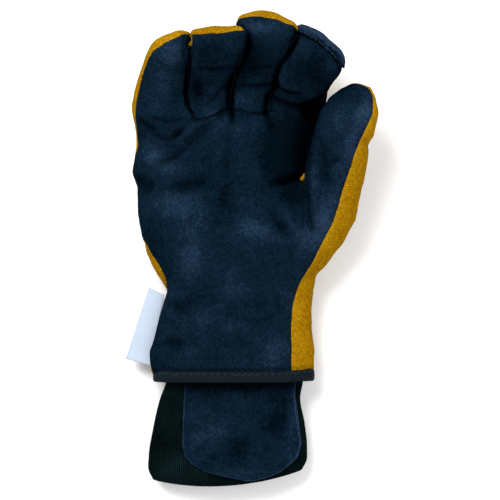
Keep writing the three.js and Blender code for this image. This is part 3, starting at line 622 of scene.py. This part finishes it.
SHUT_REACH = 16 * MM
FLOOR_GAP = 0.1 * MM
final = points_of(form.data)
final[:, 2] = np.maximum(final[:, 2], FLOOR_GAP)
place(form.data, final)
form_tree = BVHTree.FromPolygons([Vector(p) for p in final], form_faces)
shut = relax(shut_in(final, normals_of(form.data), form_tree, SHUT_REACH), edges, 2)
# Painted shade in hollows: the more a point is shut in by the leather round it, the darker it is painted.
SHUT_DARK, SHUT_FREE = 1.7, 0.3  # how dark a hollow gets, and how much is let off
# The painted shade at each point: that of its folds, or that of its hollow, whichever is darker.
painted_shade = np.maximum(relax(fold_painted_shade, edges, 1), shut * SHUT_DARK - SHUT_FREE)
# Kept on the leather: the patches, partly painted light and shade, on leather that faces up; and the painted shade
# of folds and hollows.
keep_values(form.data, "nap_and_painted_light", nap_and_painted_light_of(final) * np.clip(normals[:, 2] * 3, 0, 1))
keep_values(form.data, "folds_and_painted_shade", np.clip(painted_shade, -0.3, 1))


# Cutting the skin into its sewn pieces
def cut_skin(mesh, fields):
    """The skin with an edge along each seam, where the seam's field is 0."""
    built = bmesh.new()
    built.from_mesh(mesh)
    layers = {key: built.verts.layers.float.new(key) for key in fields}
    for key, layer in layers.items():
        for vert, value in zip(built.verts, fields[key]):
            vert[layer] = value
    for layer in layers.values():
        new = []
        for edge in list(built.edges):
            a, b = edge.verts
            if a[layer] * b[layer] < 0:
                share = a[layer] / (a[layer] - b[layer])
                made = bmesh.utils.edge_split(edge, a, min(max(share, 0.03), 0.97))[1]
                made[layer] = 0
                new.append(made)
        bmesh.ops.connect_verts(built, verts=new)
    return built


def take(source, name, test):
    """The faces of the cut skin that pass a test of their sides and centre, as a piece of their own."""
    built = source.copy()
    layers = {key: built.verts.layers.float[key] for key in FIELDS}
    drop = []
    for face in built.faces:
        side = {key: sum(v[layer] for v in face.verts) for key, layer in layers.items()}
        if not test(side, face.calc_center_median()):
            drop.append(face)
    bmesh.ops.delete(built, geom=drop, context="FACES")
    bmesh.ops.remove_doubles(built, verts=[v for v in built.verts if v.is_boundary], dist=0.2 * MM)
    return new_object(name, mesh_of(name, built))


def navy(side, centre):
    return centre.y > HEM_CUT and side["gold_seam"] > 0


cut = cut_skin(form.data, FIELDS)
palm = take(cut, "palm_suede", lambda s, c: navy(s, c) and s["ring_seam"] <= 0 and s["middle_seam"] <= 0)
ring = take(cut, "ring_suede", lambda s, c: navy(s, c) and s["ring_seam"] > 0)
middle = take(cut, "middle_suede", lambda s, c: navy(s, c) and s["middle_seam"] > 0 and s["ring_seam"] <= 0)
back = take(cut, "back_suede", lambda s, c: c.y > HEM_CUT and s["gold_seam"] <= 0)
cap = take(cut, "index_cap_suede", lambda s, c: s["cap_edge"] > 0 and c.x > CAP_FROM)
cut.free()


parts = patches(np.zeros(len(cap.data.vertices)), edges_of(cap.data))
largest = np.bincount(parts).argmax()
delete_from(cap, "VERTS", lambda built: [v for v in built.verts if parts[v.index] != largest])
for piece in (palm, ring, middle, back):
    thicken(piece, SUEDE_THICK)
# The cap lies on the finger: a painted highlight along its edge, and painted shade in the groove under it
CAP_LIFT = 0.3 * MM
CAP_THICK = 1.4 * MM
cap_spots = points_of(cap.data)
cap_rim = above(seen(cap_spots), CAP_LINE) / MM
keep_values(cap.data, "nap_and_painted_light", 0.25 + 0.75 * np.exp(-(((cap_rim - 3.4) / 1.6) ** 2)))
keep_values(cap.data, "folds_and_painted_shade", np.clip(0.9 * np.exp(-((cap_rim / 0.8) ** 2)), 0, 1))
place(cap.data, cap_spots + normals_of(cap.data) * CAP_LIFT)
thicken(cap, CAP_THICK, 1)

# Lining
lining = skin("lining", LINING_STEP)
lining_edges = edges_of(lining.data)
place(lining.data, relax(points_of(lining.data), lining_edges, 8))
place(lining.data, points_of(lining.data) - normals_of(lining.data) * LINING_DEPTH)


def tuck_in(piece, tree, depth):
    """Moves a piece's points to lie at least a depth under a skin."""
    points = points_of(piece.data)
    for i, point in enumerate(points):
        spot, normal, _, _ = tree.find_nearest(Vector(point))
        if (Vector(point) - spot).dot(normal) > -depth:
            points[i] = spot - normal * depth
    place(piece.data, points)


for passes in (2, 2, 2, 2, 0, 0):
    tuck_in(lining, form_tree, LINING_LEAST)
    place(lining.data, relax(points_of(lining.data), lining_edges, passes))
delete_from(lining, "FACES", lambda built: [f for f in built.faces if f.calc_center_median().y < LINING_END])
thicken(lining, LINING_THICK)


# Knit wristlet. Rows from inside the cuff to the open end, in millimetres.
KNIT_ROWS = (
    # y, left, right, low, high
    (-77.0, -42.5, 55.5, 3.2, 38.8),
    (-85.0, -44.3, 56.3, 3.6, 38.7),
    (-92.0, -42.0, 54.0, 5.8, 34.6),
    (-98.0, -39.8, 51.5, 8.0, 30.6),
    (-109.0, -39.8, 53.0, 8.0, 30.6),
    (-123.2, -44.5, 51.2, 1.0, 31.6),
    (-144.5, -49.2, 54.3, -1.2, 30.6),
    (-164.4, -52.2, 55.9, -1.2, 29.6),
    (-175.7, -51.9, 55.1, -0.7, 28.6),
    (-180.0, -49.8, 53.0, 0.7, 27.2),
)
KNIT_TOP, KNIT_NECK, KNIT_END = -77, -109, -180.0
KNIT_PITCH = 1.3 * MM  # length of a stitch
RIBS = 184
RIB_WAVE = (-1, 0.4, 1, 0.4)
RIB_HIGH = 0.4
KNIT_WALL = 2.7
OFF_FLOOR = 0.05
KNIT_LIP = (  # y past the end, depth, share of the rib
    (-0.7, 0.3, 0.8), (-1.1, 0.9, 0.4), (-1.1, 1.8, 0.4), (-0.7, 2.4, 0.8),
)
SECTION_SQUARE = 2.5  # 2 is an ellipse


def knit_row(y):
    """Left, right, low and high of the knit at a place along it, on smooth curves."""
    ys = np.array([-row[0] for row in KNIT_ROWS])
    found = []
    for column in range(1, 5):
        values = np.array([row[column] for row in KNIT_ROWS])
        slopes = np.gradient(values, ys)
        k = int(np.clip(np.searchsorted(ys, -y) - 1, 0, len(ys) - 2))
        span = ys[k + 1] - ys[k]
        t = min(max((-y - ys[k]) / span, 0), 1)
        found.append(
            (2 * t**3 - 3 * t**2 + 1) * values[k]
            + (t**3 - 2 * t**2 + t) * slopes[k] * span
            + (3 * t**2 - 2 * t**3) * values[k + 1]
            + (t**3 - t**2) * slopes[k + 1] * span
        )
    return found


def ring_of(left, right, low, high, count, grow=0):
    """Evenly spaced points round a rounded section, and the way out at each."""
    turn = np.linspace(0, 2 * np.pi, 1441)[:-1]
    wide, tall = (right - left) / 2 + grow, (high - low) / 2 + grow
    c, s = np.cos(turn), np.sin(turn)
    x = (left + right) / 2 + np.sign(c) * wide * np.abs(c) ** (2 / SECTION_SQUARE)
    z = (low + high) / 2 + np.sign(s) * tall * np.abs(s) ** (2 / SECTION_SQUARE)
    loop = np.stack([x, z], 1)
    steps = np.linalg.norm(np.diff(np.vstack([loop, loop[:1]]), axis=0), axis=1)
    length = np.concatenate([[0], np.cumsum(steps)])
    want = np.linspace(0, length[-1], count + 1)[:-1]
    closed = np.vstack([loop, loop[:1]])
    even = np.stack([np.interp(want, length, closed[:, 0]), np.interp(want, length, closed[:, 1])], 1)
    tangent = np.roll(even, -1, 0) - np.roll(even, 1, 0)
    out = np.stack([tangent[:, 1], -tangent[:, 0]], 1)
    out /= np.maximum(np.linalg.norm(out, axis=1), 1e-9)[:, None]
    return even, out


def tube(name, rings):
    """A mesh over rings of points, each joined to the next, and the last to the first."""
    rings = np.array(rings)
    rows, count = rings.shape[:2]
    faces = []
    for r in range(rows):
        n = (r + 1) % rows
        for i in range(count):
            j = (i + 1) % count
            faces.append((r * count + i, r * count + j, n * count + j, n * count + i))
    piece = piece_of(name, [Vector(p) for p in rings.reshape(-1, 3)], faces)
    face_out(piece)
    bpy.ops.object.shade_smooth()
    return piece


def keep_map(mesh, count, per, pitch):
    """A map over a tube: ribs counted round it, and rows of stitches along it."""
    quads = read(mesh.loops, "vertex_index", 1, np.int64).reshape(-1, 4)
    turn = quads % count
    wraps = (turn.max(1) == count - 1) & (turn.min(1) == 0)
    turn[wraps] = np.where(turn[wraps] == 0, count, turn[wraps])
    along = points_of(mesh)[quads][:, :, 1] / pitch
    layer = mesh.uv_layers.new(name="stitches")
    layer.data.foreach_set("uv", np.stack([turn / per, along], 2).astype(np.float32).ravel())


def knit_shift(x, y, row):
    """How far back the open end curves at a place across the knit."""
    across = (x - (row[0] + row[1]) / 2) / ((row[1] - row[0]) / 2)
    share = min(max((KNIT_NECK - y) / (KNIT_NECK - KNIT_END), 0), 1)
    return share * (7 * across**2 + 3.4 * across)


def knit():
    count = RIBS * len(RIB_WAVE)
    wave = np.array(RIB_WAVE * RIBS) * RIB_HIGH / 2
    rings = []
    along = [*np.linspace(KNIT_TOP, KNIT_NECK, 10), *np.linspace(KNIT_NECK - 3, KNIT_END, 34)]
    profile = [(y, 0.0, 1.0) for y in along]
    profile += [(KNIT_END + y, inset, rib) for y, inset, rib in KNIT_LIP]
    profile += [(y, KNIT_WALL, 1.0) for y in reversed(along)]
    for y, inset, rib in profile:
        row = knit_row(max(y, KNIT_END))
        even, out = ring_of(*row, count)
        sign = 1 if inset < KNIT_WALL / 2 else -1
        flat = even + out * (wave * rib * sign - inset)[:, None]
        ys = y + knit_shift(flat[:, 0], y, row)
        z = np.maximum(flat[:, 1], OFF_FLOOR + inset)
        rings.append(np.stack([flat[:, 0], ys, z], 1) * MM)
    piece = tube("knit_wristlet", rings)
    keep_map(piece.data, count, len(RIB_WAVE), KNIT_PITCH)
    return piece


wristlet = knit()


# Binding round the hem: offsets from the leather's outside, in millimetres, round the folded tape.
HEM_SECTION = (-47.5, 59.4, 1.3, 40.9)
BINDING_PROFILE = (
    # y, out
    (-102.9, 0.35), (-102.5, 0.7), (-102.7, 1.25), (-104.0, 1.5), (-106.5, 1.75), (-109.0, 1.6), (-110.2, 0.8),
    (-110.5, -2.0), (-110.2, -4.8), (-109.0, -5.5), (-104.0, -5.5), (-102.9, -5.1), (-103.4, -4.5),
    (-108.6, -4.4), (-109.3, -3.8), (-109.5, -0.3), (-109.0, 0.4),
)
BINDING_POINTS = 420
BINDING_THREADS = (1.6, 0.8 * MM)  # points across a thread, and a thread's length
TOP_EDGE = -104  # the binding's edge on the leather waves a little more


def hem_rise(x, z):
    """The binding climbs towards the thumb side, on the front alone."""
    return 1.7 * np.clip((x - 36) / 22, 0, 1) ** 1.5 * np.clip(z / 20 - 0.6, 0, 1)


def binding():
    even, out = ring_of(*HEM_SECTION, BINDING_POINTS)
    rings = []
    for y, offset in BINDING_PROFILE:
        flat = even + out * offset
        wavy = [0.45 * noise.noise(Vector((p[0] * 0.09, p[1] * 0.09, y * 0.02))) for p in flat]
        if y > TOP_EDGE:
            wavy = [w + 0.3 * noise.noise(Vector((p[0] * 0.5, p[1] * 0.5, 9))) for w, p in zip(wavy, flat)]
        z = np.maximum(flat[:, 1], OFF_FLOOR)
        along = y + np.array(wavy) * (offset > -1) + hem_rise(flat[:, 0], z)
        rings.append(np.stack([flat[:, 0], along, z], 1) * MM)
    piece = tube("hem_tape", rings)
    keep_map(piece.data, BINDING_POINTS, *BINDING_THREADS)
    return piece


hem = binding()


# Tongue: edges at each row, in millimetres.
TONGUE_ROWS = (
    # y, left, right
    (-100, -27, 49), (-109, -27.2, 48.3), (-117.8, -27.7, 47.3), (-134.2, -28.5, 49.3), (-152.5, -29.2, 51.9),
    (-161.4, -27, 49.3), (-166.1, -22.4, 44.5), (-170.9, -13.6, 38), (-174.3, 0, 31), (-177, 13.9, 20.3),
)


def curve_at(rows, at):
    ys = np.array([-row[0] for row in rows])
    return [float(np.interp(-at, ys, [row[c] for row in rows])) for c in (1, 2)]


def knit_top(x, y):
    left, right, low, high = knit_row(max(y, KNIT_END))
    u = min(abs((x - (left + right) / 2) / ((right - left) / 2)), 0.985)
    return (low + high) / 2 + (high - low) / 2 * (1 - u**SECTION_SQUARE) ** (1 / SECTION_SQUARE)


def strips(rows, count, first=0, closed=False):
    """Faces between rows of points, and from the end of a row to its start if closed."""
    faces = []
    for a in range(first, first + (rows - 1) * count, count):
        for i in range(count if closed else count - 1):
            j = (i + 1) % count
            faces.append((a + i, a + count + i, a + count + j, a + j))
    return faces


def flat_piece(name, rows, across, spot):
    """A sheet over rows of points, whose places spot gives in millimetres."""
    verts = [Vector(spot(r, i)) * MM for r in range(rows + 1) for i in range(across + 1)]
    return piece_of(name, verts, strips(rows + 1, across + 1))


TONGUE_TOP, TONGUE_LONG = -100, 77
TONGUE_ROOM = 1.1  # between the knit and the tongue
TONGUE_THICK = 1.7 * MM


def tongue():
    rows, across = 80, 64

    def spot(r, i):
        share = 1 - (1 - r / rows) ** 1.7
        y = TONGUE_TOP - TONGUE_LONG * share
        left, right = curve_at(TONGUE_ROWS, y)
        x = left + (right - left) * i / across
        return x, y, knit_top(x, y) + TONGUE_ROOM

    piece = flat_piece("wrist_tongue_suede", rows, across, spot)
    mesh = piece.data
    place(mesh, relax(points_of(mesh), edges_of(mesh), 2))
    thicken(piece, TONGUE_THICK, 1)
    spots = points_of(mesh)
    rim = np.zeros(len(spots))
    for i, (x, y, z) in enumerate(spots / MM):
        left, right = curve_at(TONGUE_ROWS, y)
        rim[i] = min(x - left, right - x, (y + 177.5) * 0.9)
    under_hem = np.clip(-110 - spots[:, 1] / MM, 0, 99)
    # Lighter along the cut edge, with the patches of painted light and shade; and a painted shadow under the
    # binding.
    keep_values(mesh, "nap_and_painted_light", nap_and_painted_light_of(spots) - 0.14 + 1.5 * np.exp(-((rim / 0.6) ** 2)))
    keep_values(mesh, "folds_and_painted_shade", 0.6 * np.exp(-((under_hem / 9) ** 2)))
    return piece


flap = tongue()

LABEL_CORNERS = ((-52.0, -46.2), (-41.4, -50.9), (-50.6, -99.6), (-67.9, -94.9))
LABEL_THICK = 0.45 * MM


def label():
    rows, across = 40, 12
    top_left, top_right, low_right, low_left = [np.array(c) for c in LABEL_CORNERS]

    def spot(r, i):
        t, u = r / rows, i / across
        a, b = top_left + (low_left - top_left) * t, top_right + (low_right - top_right) * t
        x, y = a + (b - a) * u
        return x, y, 19 - 3.2 * (1 - u) ** 2 * (0.4 + t) + 0.5 * math.sin(3 * t + 2 * u)

    piece = flat_piece("blank_label", rows, across, spot)
    thicken(piece, LABEL_THICK, 0)
    return piece


tag = label()


# Stitches: each a short thread that dips in at both ends
def stitches(name, rows, width):
    """rows: for each stitch the points where it goes in and comes out, and the way out of the leather."""
    around, lengthwise = 6, 7
    verts, faces = [], []
    for start, end, out in rows:
        along = end - start
        side = out.cross(along).normalized()
        first = len(verts)
        for k in range(lengthwise):
            t = k / (lengthwise - 1)
            swell = math.sin(math.pi * t)
            centre = start + along * t + out * width * (0.62 * swell**0.5 - 0.45)
            thick = width / 2 * (0.35 + 0.65 * swell**0.4)
            for i in range(around):
                turn = 2 * math.pi * i / around
                verts.append(centre + side * math.cos(turn) * thick + out * math.sin(turn) * thick)
        faces += strips(lengthwise, around, first, True)
        faces.append(tuple(first + i for i in range(around)))
        faces.append(tuple(first + (lengthwise - 1) * around + i for i in reversed(range(around))))
    piece = piece_of(name, verts, faces)
    face_out(piece)
    return piece


HEM_STITCHES = 56
STITCH_POINTS = 24  # of the ring round the hem, to each stitch and the space after it
STITCH_LONG = 13  # of those points
STITCH_OUT = 1.45  # from the leather, in millimetres
STITCH_ROWS = ((0, -104.35), (11, -105.2))  # first point, y
DOUBLED = (10, 24)  # x from and to which the second row shows whole
HEM_THREAD = 0.55 * MM
CAP_THREAD = 0.5 * MM


def hem_stitches():
    count = HEM_STITCHES * STITCH_POINTS
    even, out = ring_of(*HEM_SECTION, count, STITCH_OUT)
    rows = []
    for k in range(HEM_STITCHES):
        for start, low in STITCH_ROWS:
            i = (k * STITCH_POINTS + start) % count
            j = (i + STITCH_LONG) % count
            if start and not DOUBLED[0] < even[i][0] < DOUBLED[1] and k % 9 != 4:
                continue
            y = low + 0.25 * noise.noise(Vector((k * 0.7, start, 0))) + hem_rise(*even[i])
            ends = [Vector((even[n][0], y, max(even[n][1], 0.3))) * MM for n in (i, j)]
            way = Vector((out[i][0] + out[j][0], 0, out[i][1] + out[j][1])).normalized()
            rows.append((*ends, way))
    return stitches("hem_thread", rows, HEM_THREAD)


hem_thread = hem_stitches()

CAP_STITCH_LINE = ((52.8, 128.5), (58.5, 124.4), (65.3, 120.8), (69.7, 117.1), (75.5, 110.8), (78.5, 104.9))
CAP_STITCHES = (0.6, 2.1, 3.0)  # place of the first, length, and step from one to the next, in millimetres
STITCH_MOST = 5 * MM  # a longer one would span a gap


def cap_stitches():
    built = BVHTree.FromPolygons([v.co for v in cap.data.vertices], faces_of(cap.data))
    line = np.array(CAP_STITCH_LINE)
    lengths = np.concatenate([[0], np.cumsum(np.linalg.norm(np.diff(line, axis=0), axis=1))])
    rows = []
    start, long, step = CAP_STITCHES
    while start + 2.2 < lengths[-1]:
        ends, ways = [], []
        for share in (start, start + long):
            x, y = (float(np.interp(share, lengths, line[:, c])) for c in (0, 1))
            aim = (Vector((x, y, SEEN_HEIGHT / MM)) * MM - EYE).normalized()
            spot, normal, _, _ = built.ray_cast(EYE, aim)
            if spot is None:
                spot, normal, _, _ = form_tree.ray_cast(EYE, aim)
            if spot is not None:
                ends.append(spot)
                ways.append(normal)
        if len(ends) == 2 and (ends[0] - ends[1]).length < STITCH_MOST:
            rows.append((*ends, (ways[0] + ways[1]).normalized()))
        start += step
    return stitches("cap_thread", rows, CAP_THREAD)


cap_thread = cap_stitches()

# Stay in the crotch of the thumb
tab = new_object("crotch_tab", mesh_of("stay", cast_of("crotch_stay")))
apply(tab, "SUBSURF", levels=2, render_levels=2)


# Materials
NUMBER, PLACE, COLOUR = "NodeSocketFloat", "NodeSocketVector", "NodeSocketColor"


class Nodes:
    """Adds nodes to a tree. A value fed to a socket is a number, a colour or another node's output."""

    def __init__(self, tree):
        self.tree = tree

    def feed(self, socket, value):
        if isinstance(value, bpy.types.NodeSocket):
            self.tree.links.new(value, socket)
        else:
            socket.default_value = (*value, 1) if socket.type == "RGBA" else value

    def add(self, kind, values=(), **settings):
        made = self.tree.nodes.new("ShaderNode" + kind)
        for key, value in settings.items():
            setattr(made, key, value)
        for key, value in dict(values).items():
            self.feed(made.inputs[key], value)
        return made.outputs

    def sums(self, kind, *values, clamp=False):
        return self.add("Math", enumerate(values), operation=kind, use_clamp=clamp)[0]

    def weighed(self, start, *terms):
        """start plus each value's difference from a half, times its weight."""
        total = start
        for value, weight in terms:
            total = self.sums("ADD", total, self.sums("MULTIPLY", self.sums("SUBTRACT", value, 0.5), weight))
        return total

    def cloud(self, where, size, detail=2.0, uneven=0.55):
        """Noise whose forms are about as large as a size in metres."""
        values = {"Vector": where, "Scale": 1 / size, "Detail": detail, "Roughness": uneven}
        return self.add("TexNoise", values)["Fac"]

    def blend(self, share, first, second):
        return self.add("Mix", {0: share, 6: first, 7: second}, data_type="RGBA")[2]

    def tones(self, share, deep, main, pale):
        """deep where the share is 0, main at a half and pale at 1."""
        low = self.blend(self.sums("MULTIPLY", share, 2.0, clamp=True), deep, main)
        return self.blend(self.sums("MULTIPLY_ADD", share, 2.0, -1.0, clamp=True), low, pale)


class Effect(Nodes):
    """A node group, from the kinds of its inputs and outputs."""

    def __init__(self, name, takes, gives):
        super().__init__(bpy.data.node_groups.new(name, "ShaderNodeTree"))
        for way, sockets in (("INPUT", takes), ("OUTPUT", gives)):
            for socket, kind in sockets.items():
                self.tree.interface.new_socket(name=socket, in_out=way, socket_type=kind)
        self.taken = self.tree.nodes.new("NodeGroupInput").outputs
        self.given = self.tree.nodes.new("NodeGroupOutput").inputs

    def give(self, **values):
        for name, value in values.items():
            self.feed(self.given[name], value)
        return self.tree


# The suede's colour: its nap, mottle and grain, with the painted light and painted shade kept on the leather.
def suede_nap_and_painted_light():
    takes = dict(Place=PLACE, Deep=COLOUR, Main=COLOUR, Pale=COLOUR)
    takes.update(Lie=NUMBER, Fold=NUMBER, Shade=NUMBER, Mottle=NUMBER)
    made = Effect("suede nap", takes, dict(Color=COLOUR, Height=NUMBER, Roughness=NUMBER))
    where, taken, sums = made.taken["Place"], made.taken, made.sums
    clouds, mottle = made.cloud(where, 0.030), made.cloud(where, 0.0075, 3)
    speck, grain = made.cloud(where, 0.0022, 3, 0.65), made.cloud(where, 0.0007, 2)
    # The stored value holds painted highlights and painted shade as well as the lie of the nap.
    lie_and_painted_light = sums("MULTIPLY_ADD", taken["Lie"], 0.62, 0.38)
    spots = made.weighed(0.0, (clouds, 0.5), (mottle, 0.42), (speck, 0.6))
    tone = sums("ADD", lie_and_painted_light, sums("MULTIPLY", spots, taken["Mottle"]))
    colour = made.tones(tone, taken["Deep"], taken["Main"], taken["Pale"])
    # Painted shade: the stored shade, times how strongly this suede takes it, darkens the colour.
    painted_shade_dim = sums("MULTIPLY", sums("MULTIPLY", taken["Fold"], taken["Shade"]), 1.0, clamp=True)
    light = sums("MULTIPLY", sums("SUBTRACT", 1.0, painted_shade_dim), made.weighed(1.0, (grain, 2.6), (speck, 0.9)))
    return made.give(
        Color=made.add("VectorMath", {0: colour, "Scale": light}, operation="SCALE")[0],
        Height=made.weighed(0.5, (grain, 0.7), (speck, 0.8), (mottle, 1.2)),
        Roughness=made.weighed(0.92, (speck, 0.15)),
    )


def weave():
    """Threads over and under each other, from a place given in threads."""
    made = Effect("weave", dict(Place=PLACE, Slack=NUMBER), dict(Height=NUMBER, Mask=NUMBER))
    where, sums = made.taken["Place"], made.sums
    slack = sums("MULTIPLY", made.cloud(where, 5.0), made.taken["Slack"])
    parts = made.add("SeparateXYZ", {0: where})
    waves = [sums("SINE", sums("MULTIPLY", sums("ADD", parts[part], slack), 2 * math.pi)) for part in "XY"]
    height = sums("MULTIPLY_ADD", sums("MULTIPLY", *waves), 0.5, 0.5)
    return made.give(Height=height, Mask=sums("POWER", height, 1.5))


SUEDE, WEAVE = suede_nap_and_painted_light(), weave()


class Finish(Nodes):
    """A material and its shader."""

    def __init__(self, name, rough, gloss=0.0):
        self.made = bpy.data.materials.new(name)
        self.made.use_nodes = True
        super().__init__(self.made.node_tree)
        self.shader = self.tree.nodes["Principled BSDF"].inputs
        self.shader["Roughness"].default_value = rough
        self.shader["Specular IOR Level"].default_value = gloss
        self.spot = self.add("TexCoord")["Object"]

    def value(self, name):
        return self.add("Attribute", attribute_name=name)["Fac"]

    def stitches(self):
        return self.add("UVMap", uv_map="stitches")[0]

    def use(self, group, **values):
        return self.add("Group", values, node_tree=group)

    def done(self, colour, height, strength, distance):
        """The material, once its shader has its colour and its bumps."""
        bumps = self.add("Bump", {"Strength": strength, "Distance": distance, "Height": height})
        self.feed(self.shader["Base Color"], colour)
        self.feed(self.shader["Normal"], bumps[0])
        return self.made


def suede(name, deep, main, pale, mottle, shade):
    finish = Finish(name, 0.92)
    marks = dict(Lie=finish.value("nap_and_painted_light"), Fold=finish.value("folds_and_painted_shade"), Shade=shade, Mottle=mottle)
    nap_and_painted_light = finish.use(SUEDE, Place=finish.spot, Deep=deep, Main=main, Pale=pale, **marks)
    finish.feed(finish.shader["Roughness"], nap_and_painted_light["Roughness"])
    return finish.done(nap_and_painted_light["Color"], nap_and_painted_light["Height"], 0.5, 0.35 * MM)


def woven(name, deep, pale, rough, threads, turn=0.0, mapped=False):
    finish = Finish(name, rough, 0.05)
    spot = finish.stitches() if mapped else finish.spot
    turned = finish.add("Mapping", {"Rotation": (0, 0, turn), "Scale": (*threads, 1), "Vector": spot})
    cloth = finish.use(WEAVE, Place=turned[0], Slack=0.2)
    wear = finish.sums("MULTIPLY_ADD", finish.cloud(finish.spot, 0.012, 3), 0.9, 0.35)
    share = finish.sums("MULTIPLY", cloth["Mask"], wear, clamp=True)
    return finish.done(finish.blend(share, deep, pale), cloth["Height"], 0.7, 0.2 * MM)


def knitted(name, deep, main, pale):
    finish = Finish(name, 0.9)
    sums = finish.sums
    parts = finish.add("SeparateXYZ", {0: finish.stitches()})
    across = sums("ABSOLUTE", sums("SUBTRACT", sums("FRACT", parts["X"]), 0.5))
    slant = sums("ADD", parts["Y"], sums("MULTIPLY", across, 1.1))
    yarn = sums("ABSOLUTE", sums("SINE", sums("MULTIPLY", slant, math.pi)))
    # Painted light and shade of the ribs: paler on each rib's crown, darker where the ribs meet.
    painted_rib_light = sums("SUBTRACT", 1.0, sums("MULTIPLY", across, 2.0))
    fuzz, wear = finish.cloud(finish.spot, 0.0012, 3), finish.cloud(finish.spot, 0.02, 2)
    row = sums("MULTIPLY_ADD", yarn, 0.45, 0.45)
    share = finish.weighed(sums("MULTIPLY", row, painted_rib_light), (fuzz, 0.6), (wear, 0.8))
    return finish.done(finish.tones(share, deep, main, pale), finish.weighed(yarn, (fuzz, 0.5)), 0.7, 0.3 * MM)


def plain(name, first, second, rough, size, high):
    finish = Finish(name, rough)
    grain = finish.cloud(finish.spot, size, 3)
    return finish.done(finish.blend(grain, first, second), grain, 0.4, high)


# The last number of each suede is how strongly the painted shade darkens it.
NAVY = suede("navy suede", (0.0006, 0.0030, 0.0058), (0.0031, 0.0098, 0.0196), (0.0125, 0.0262, 0.0520), 1.0, 0.97)
GOLD = suede("gold suede", (0.160, 0.070, 0.0006), (0.256, 0.129, 0.0022), (0.365, 0.200, 0.0055), 0.55, 0.6)
TAPE = woven("black tape", (0.0014, 0.0036, 0.0052), (0.0070, 0.0150, 0.0205), 0.8, (1, 1), mapped=True)
KNIT = knitted("black knit", (0.0001, 0.0004, 0.0005), (0.0017, 0.0054, 0.0059), (0.0068, 0.0162, 0.0174))
WHITE = woven("white tape", (0.40, 0.47, 0.57), (0.53, 0.61, 0.72), 0.5, (2600, 1300), -0.28)
FELT = plain("lining felt", (0.0015, 0.0025, 0.0032), (0.0045, 0.0065, 0.0080), 0.95, 1.5 * MM, 0.3 * MM)
THREAD = plain("thread", (0.008, 0.015, 0.021), (0.038, 0.055, 0.070), 0.7, 0.6 * MM, 0.05 * MM)
FLOOR = plain("pale floor", (0.90, 0.90, 0.90), (0.92, 0.92, 0.92), 0.9, 60 * MM, 0.02 * MM)

PIECES = (
    (palm, NAVY, "navy_suede", ("palm_panel",)),
    (ring, NAVY, "navy_suede", ("ring_front",)),
    (middle, NAVY, "navy_suede", ("middle_front",)),
    (cap, NAVY, "navy_suede", ("index_cap",)),
    (back, GOLD, "gold_suede", ("back_panel",)),
    (lining, FELT, "black_knit", ("palm_panel", "back_panel")),
    (wristlet, KNIT, "black_knit", ("wristlet",)),
    (hem, TAPE, "black_binding", ("hem_binding",)),
    (flap, NAVY, "navy_suede", ("wrist_tongue",)),
    (tag, WHITE, "white_tape", ("side_label",)),
    (tab, GOLD, "gold_suede", ("crotch_stay",)),
    (hem_thread, THREAD, "black_binding", ("hem_binding",)),
    (cap_thread, THREAD, "navy_suede", ("index_cap",)),
)
bpy.data.objects.remove(form)
for piece, finish, slot, stood in PIECES:
    piece.data.materials.clear()
    piece.data.materials.append(finish)
    lone(piece)
    bpy.ops.object.shade_smooth()
    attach(piece, "root")
    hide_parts(*stood)

# Floor and light
bpy.ops.mesh.primitive_plane_add(size=6, location=(0, 0, 0))
floor = bpy.context.object
floor.name = "floor"
floor.data.materials.append(FLOOR)


def lamp(name, place_at, aim, size, power):
    data = bpy.data.lights.new(name, "AREA")
    data.size = size
    data.energy = power
    made = new_object(name, data)
    made.location = place_at
    made.rotation_euler = (Vector(aim) - Vector(place_at)).to_track_quat("-Z", "Y").to_euler()


lamp("key", (-0.55, 0.75, 1.5), (0, 0, 0.03), 0.8, 34)
lamp("fill", (0.9, -0.3, 1.3), (0, 0, 0.03), 1.2, 12)
world = bpy.data.worlds.new("studio")
bpy.context.scene.world = world
world.use_nodes = True
sky = world.node_tree.nodes["Background"].inputs
sky["Color"].default_value = (1, 1, 1, 1)
sky["Strength"].default_value = 0.65
bpy.context.scene.view_settings.view_transform = "Standard"
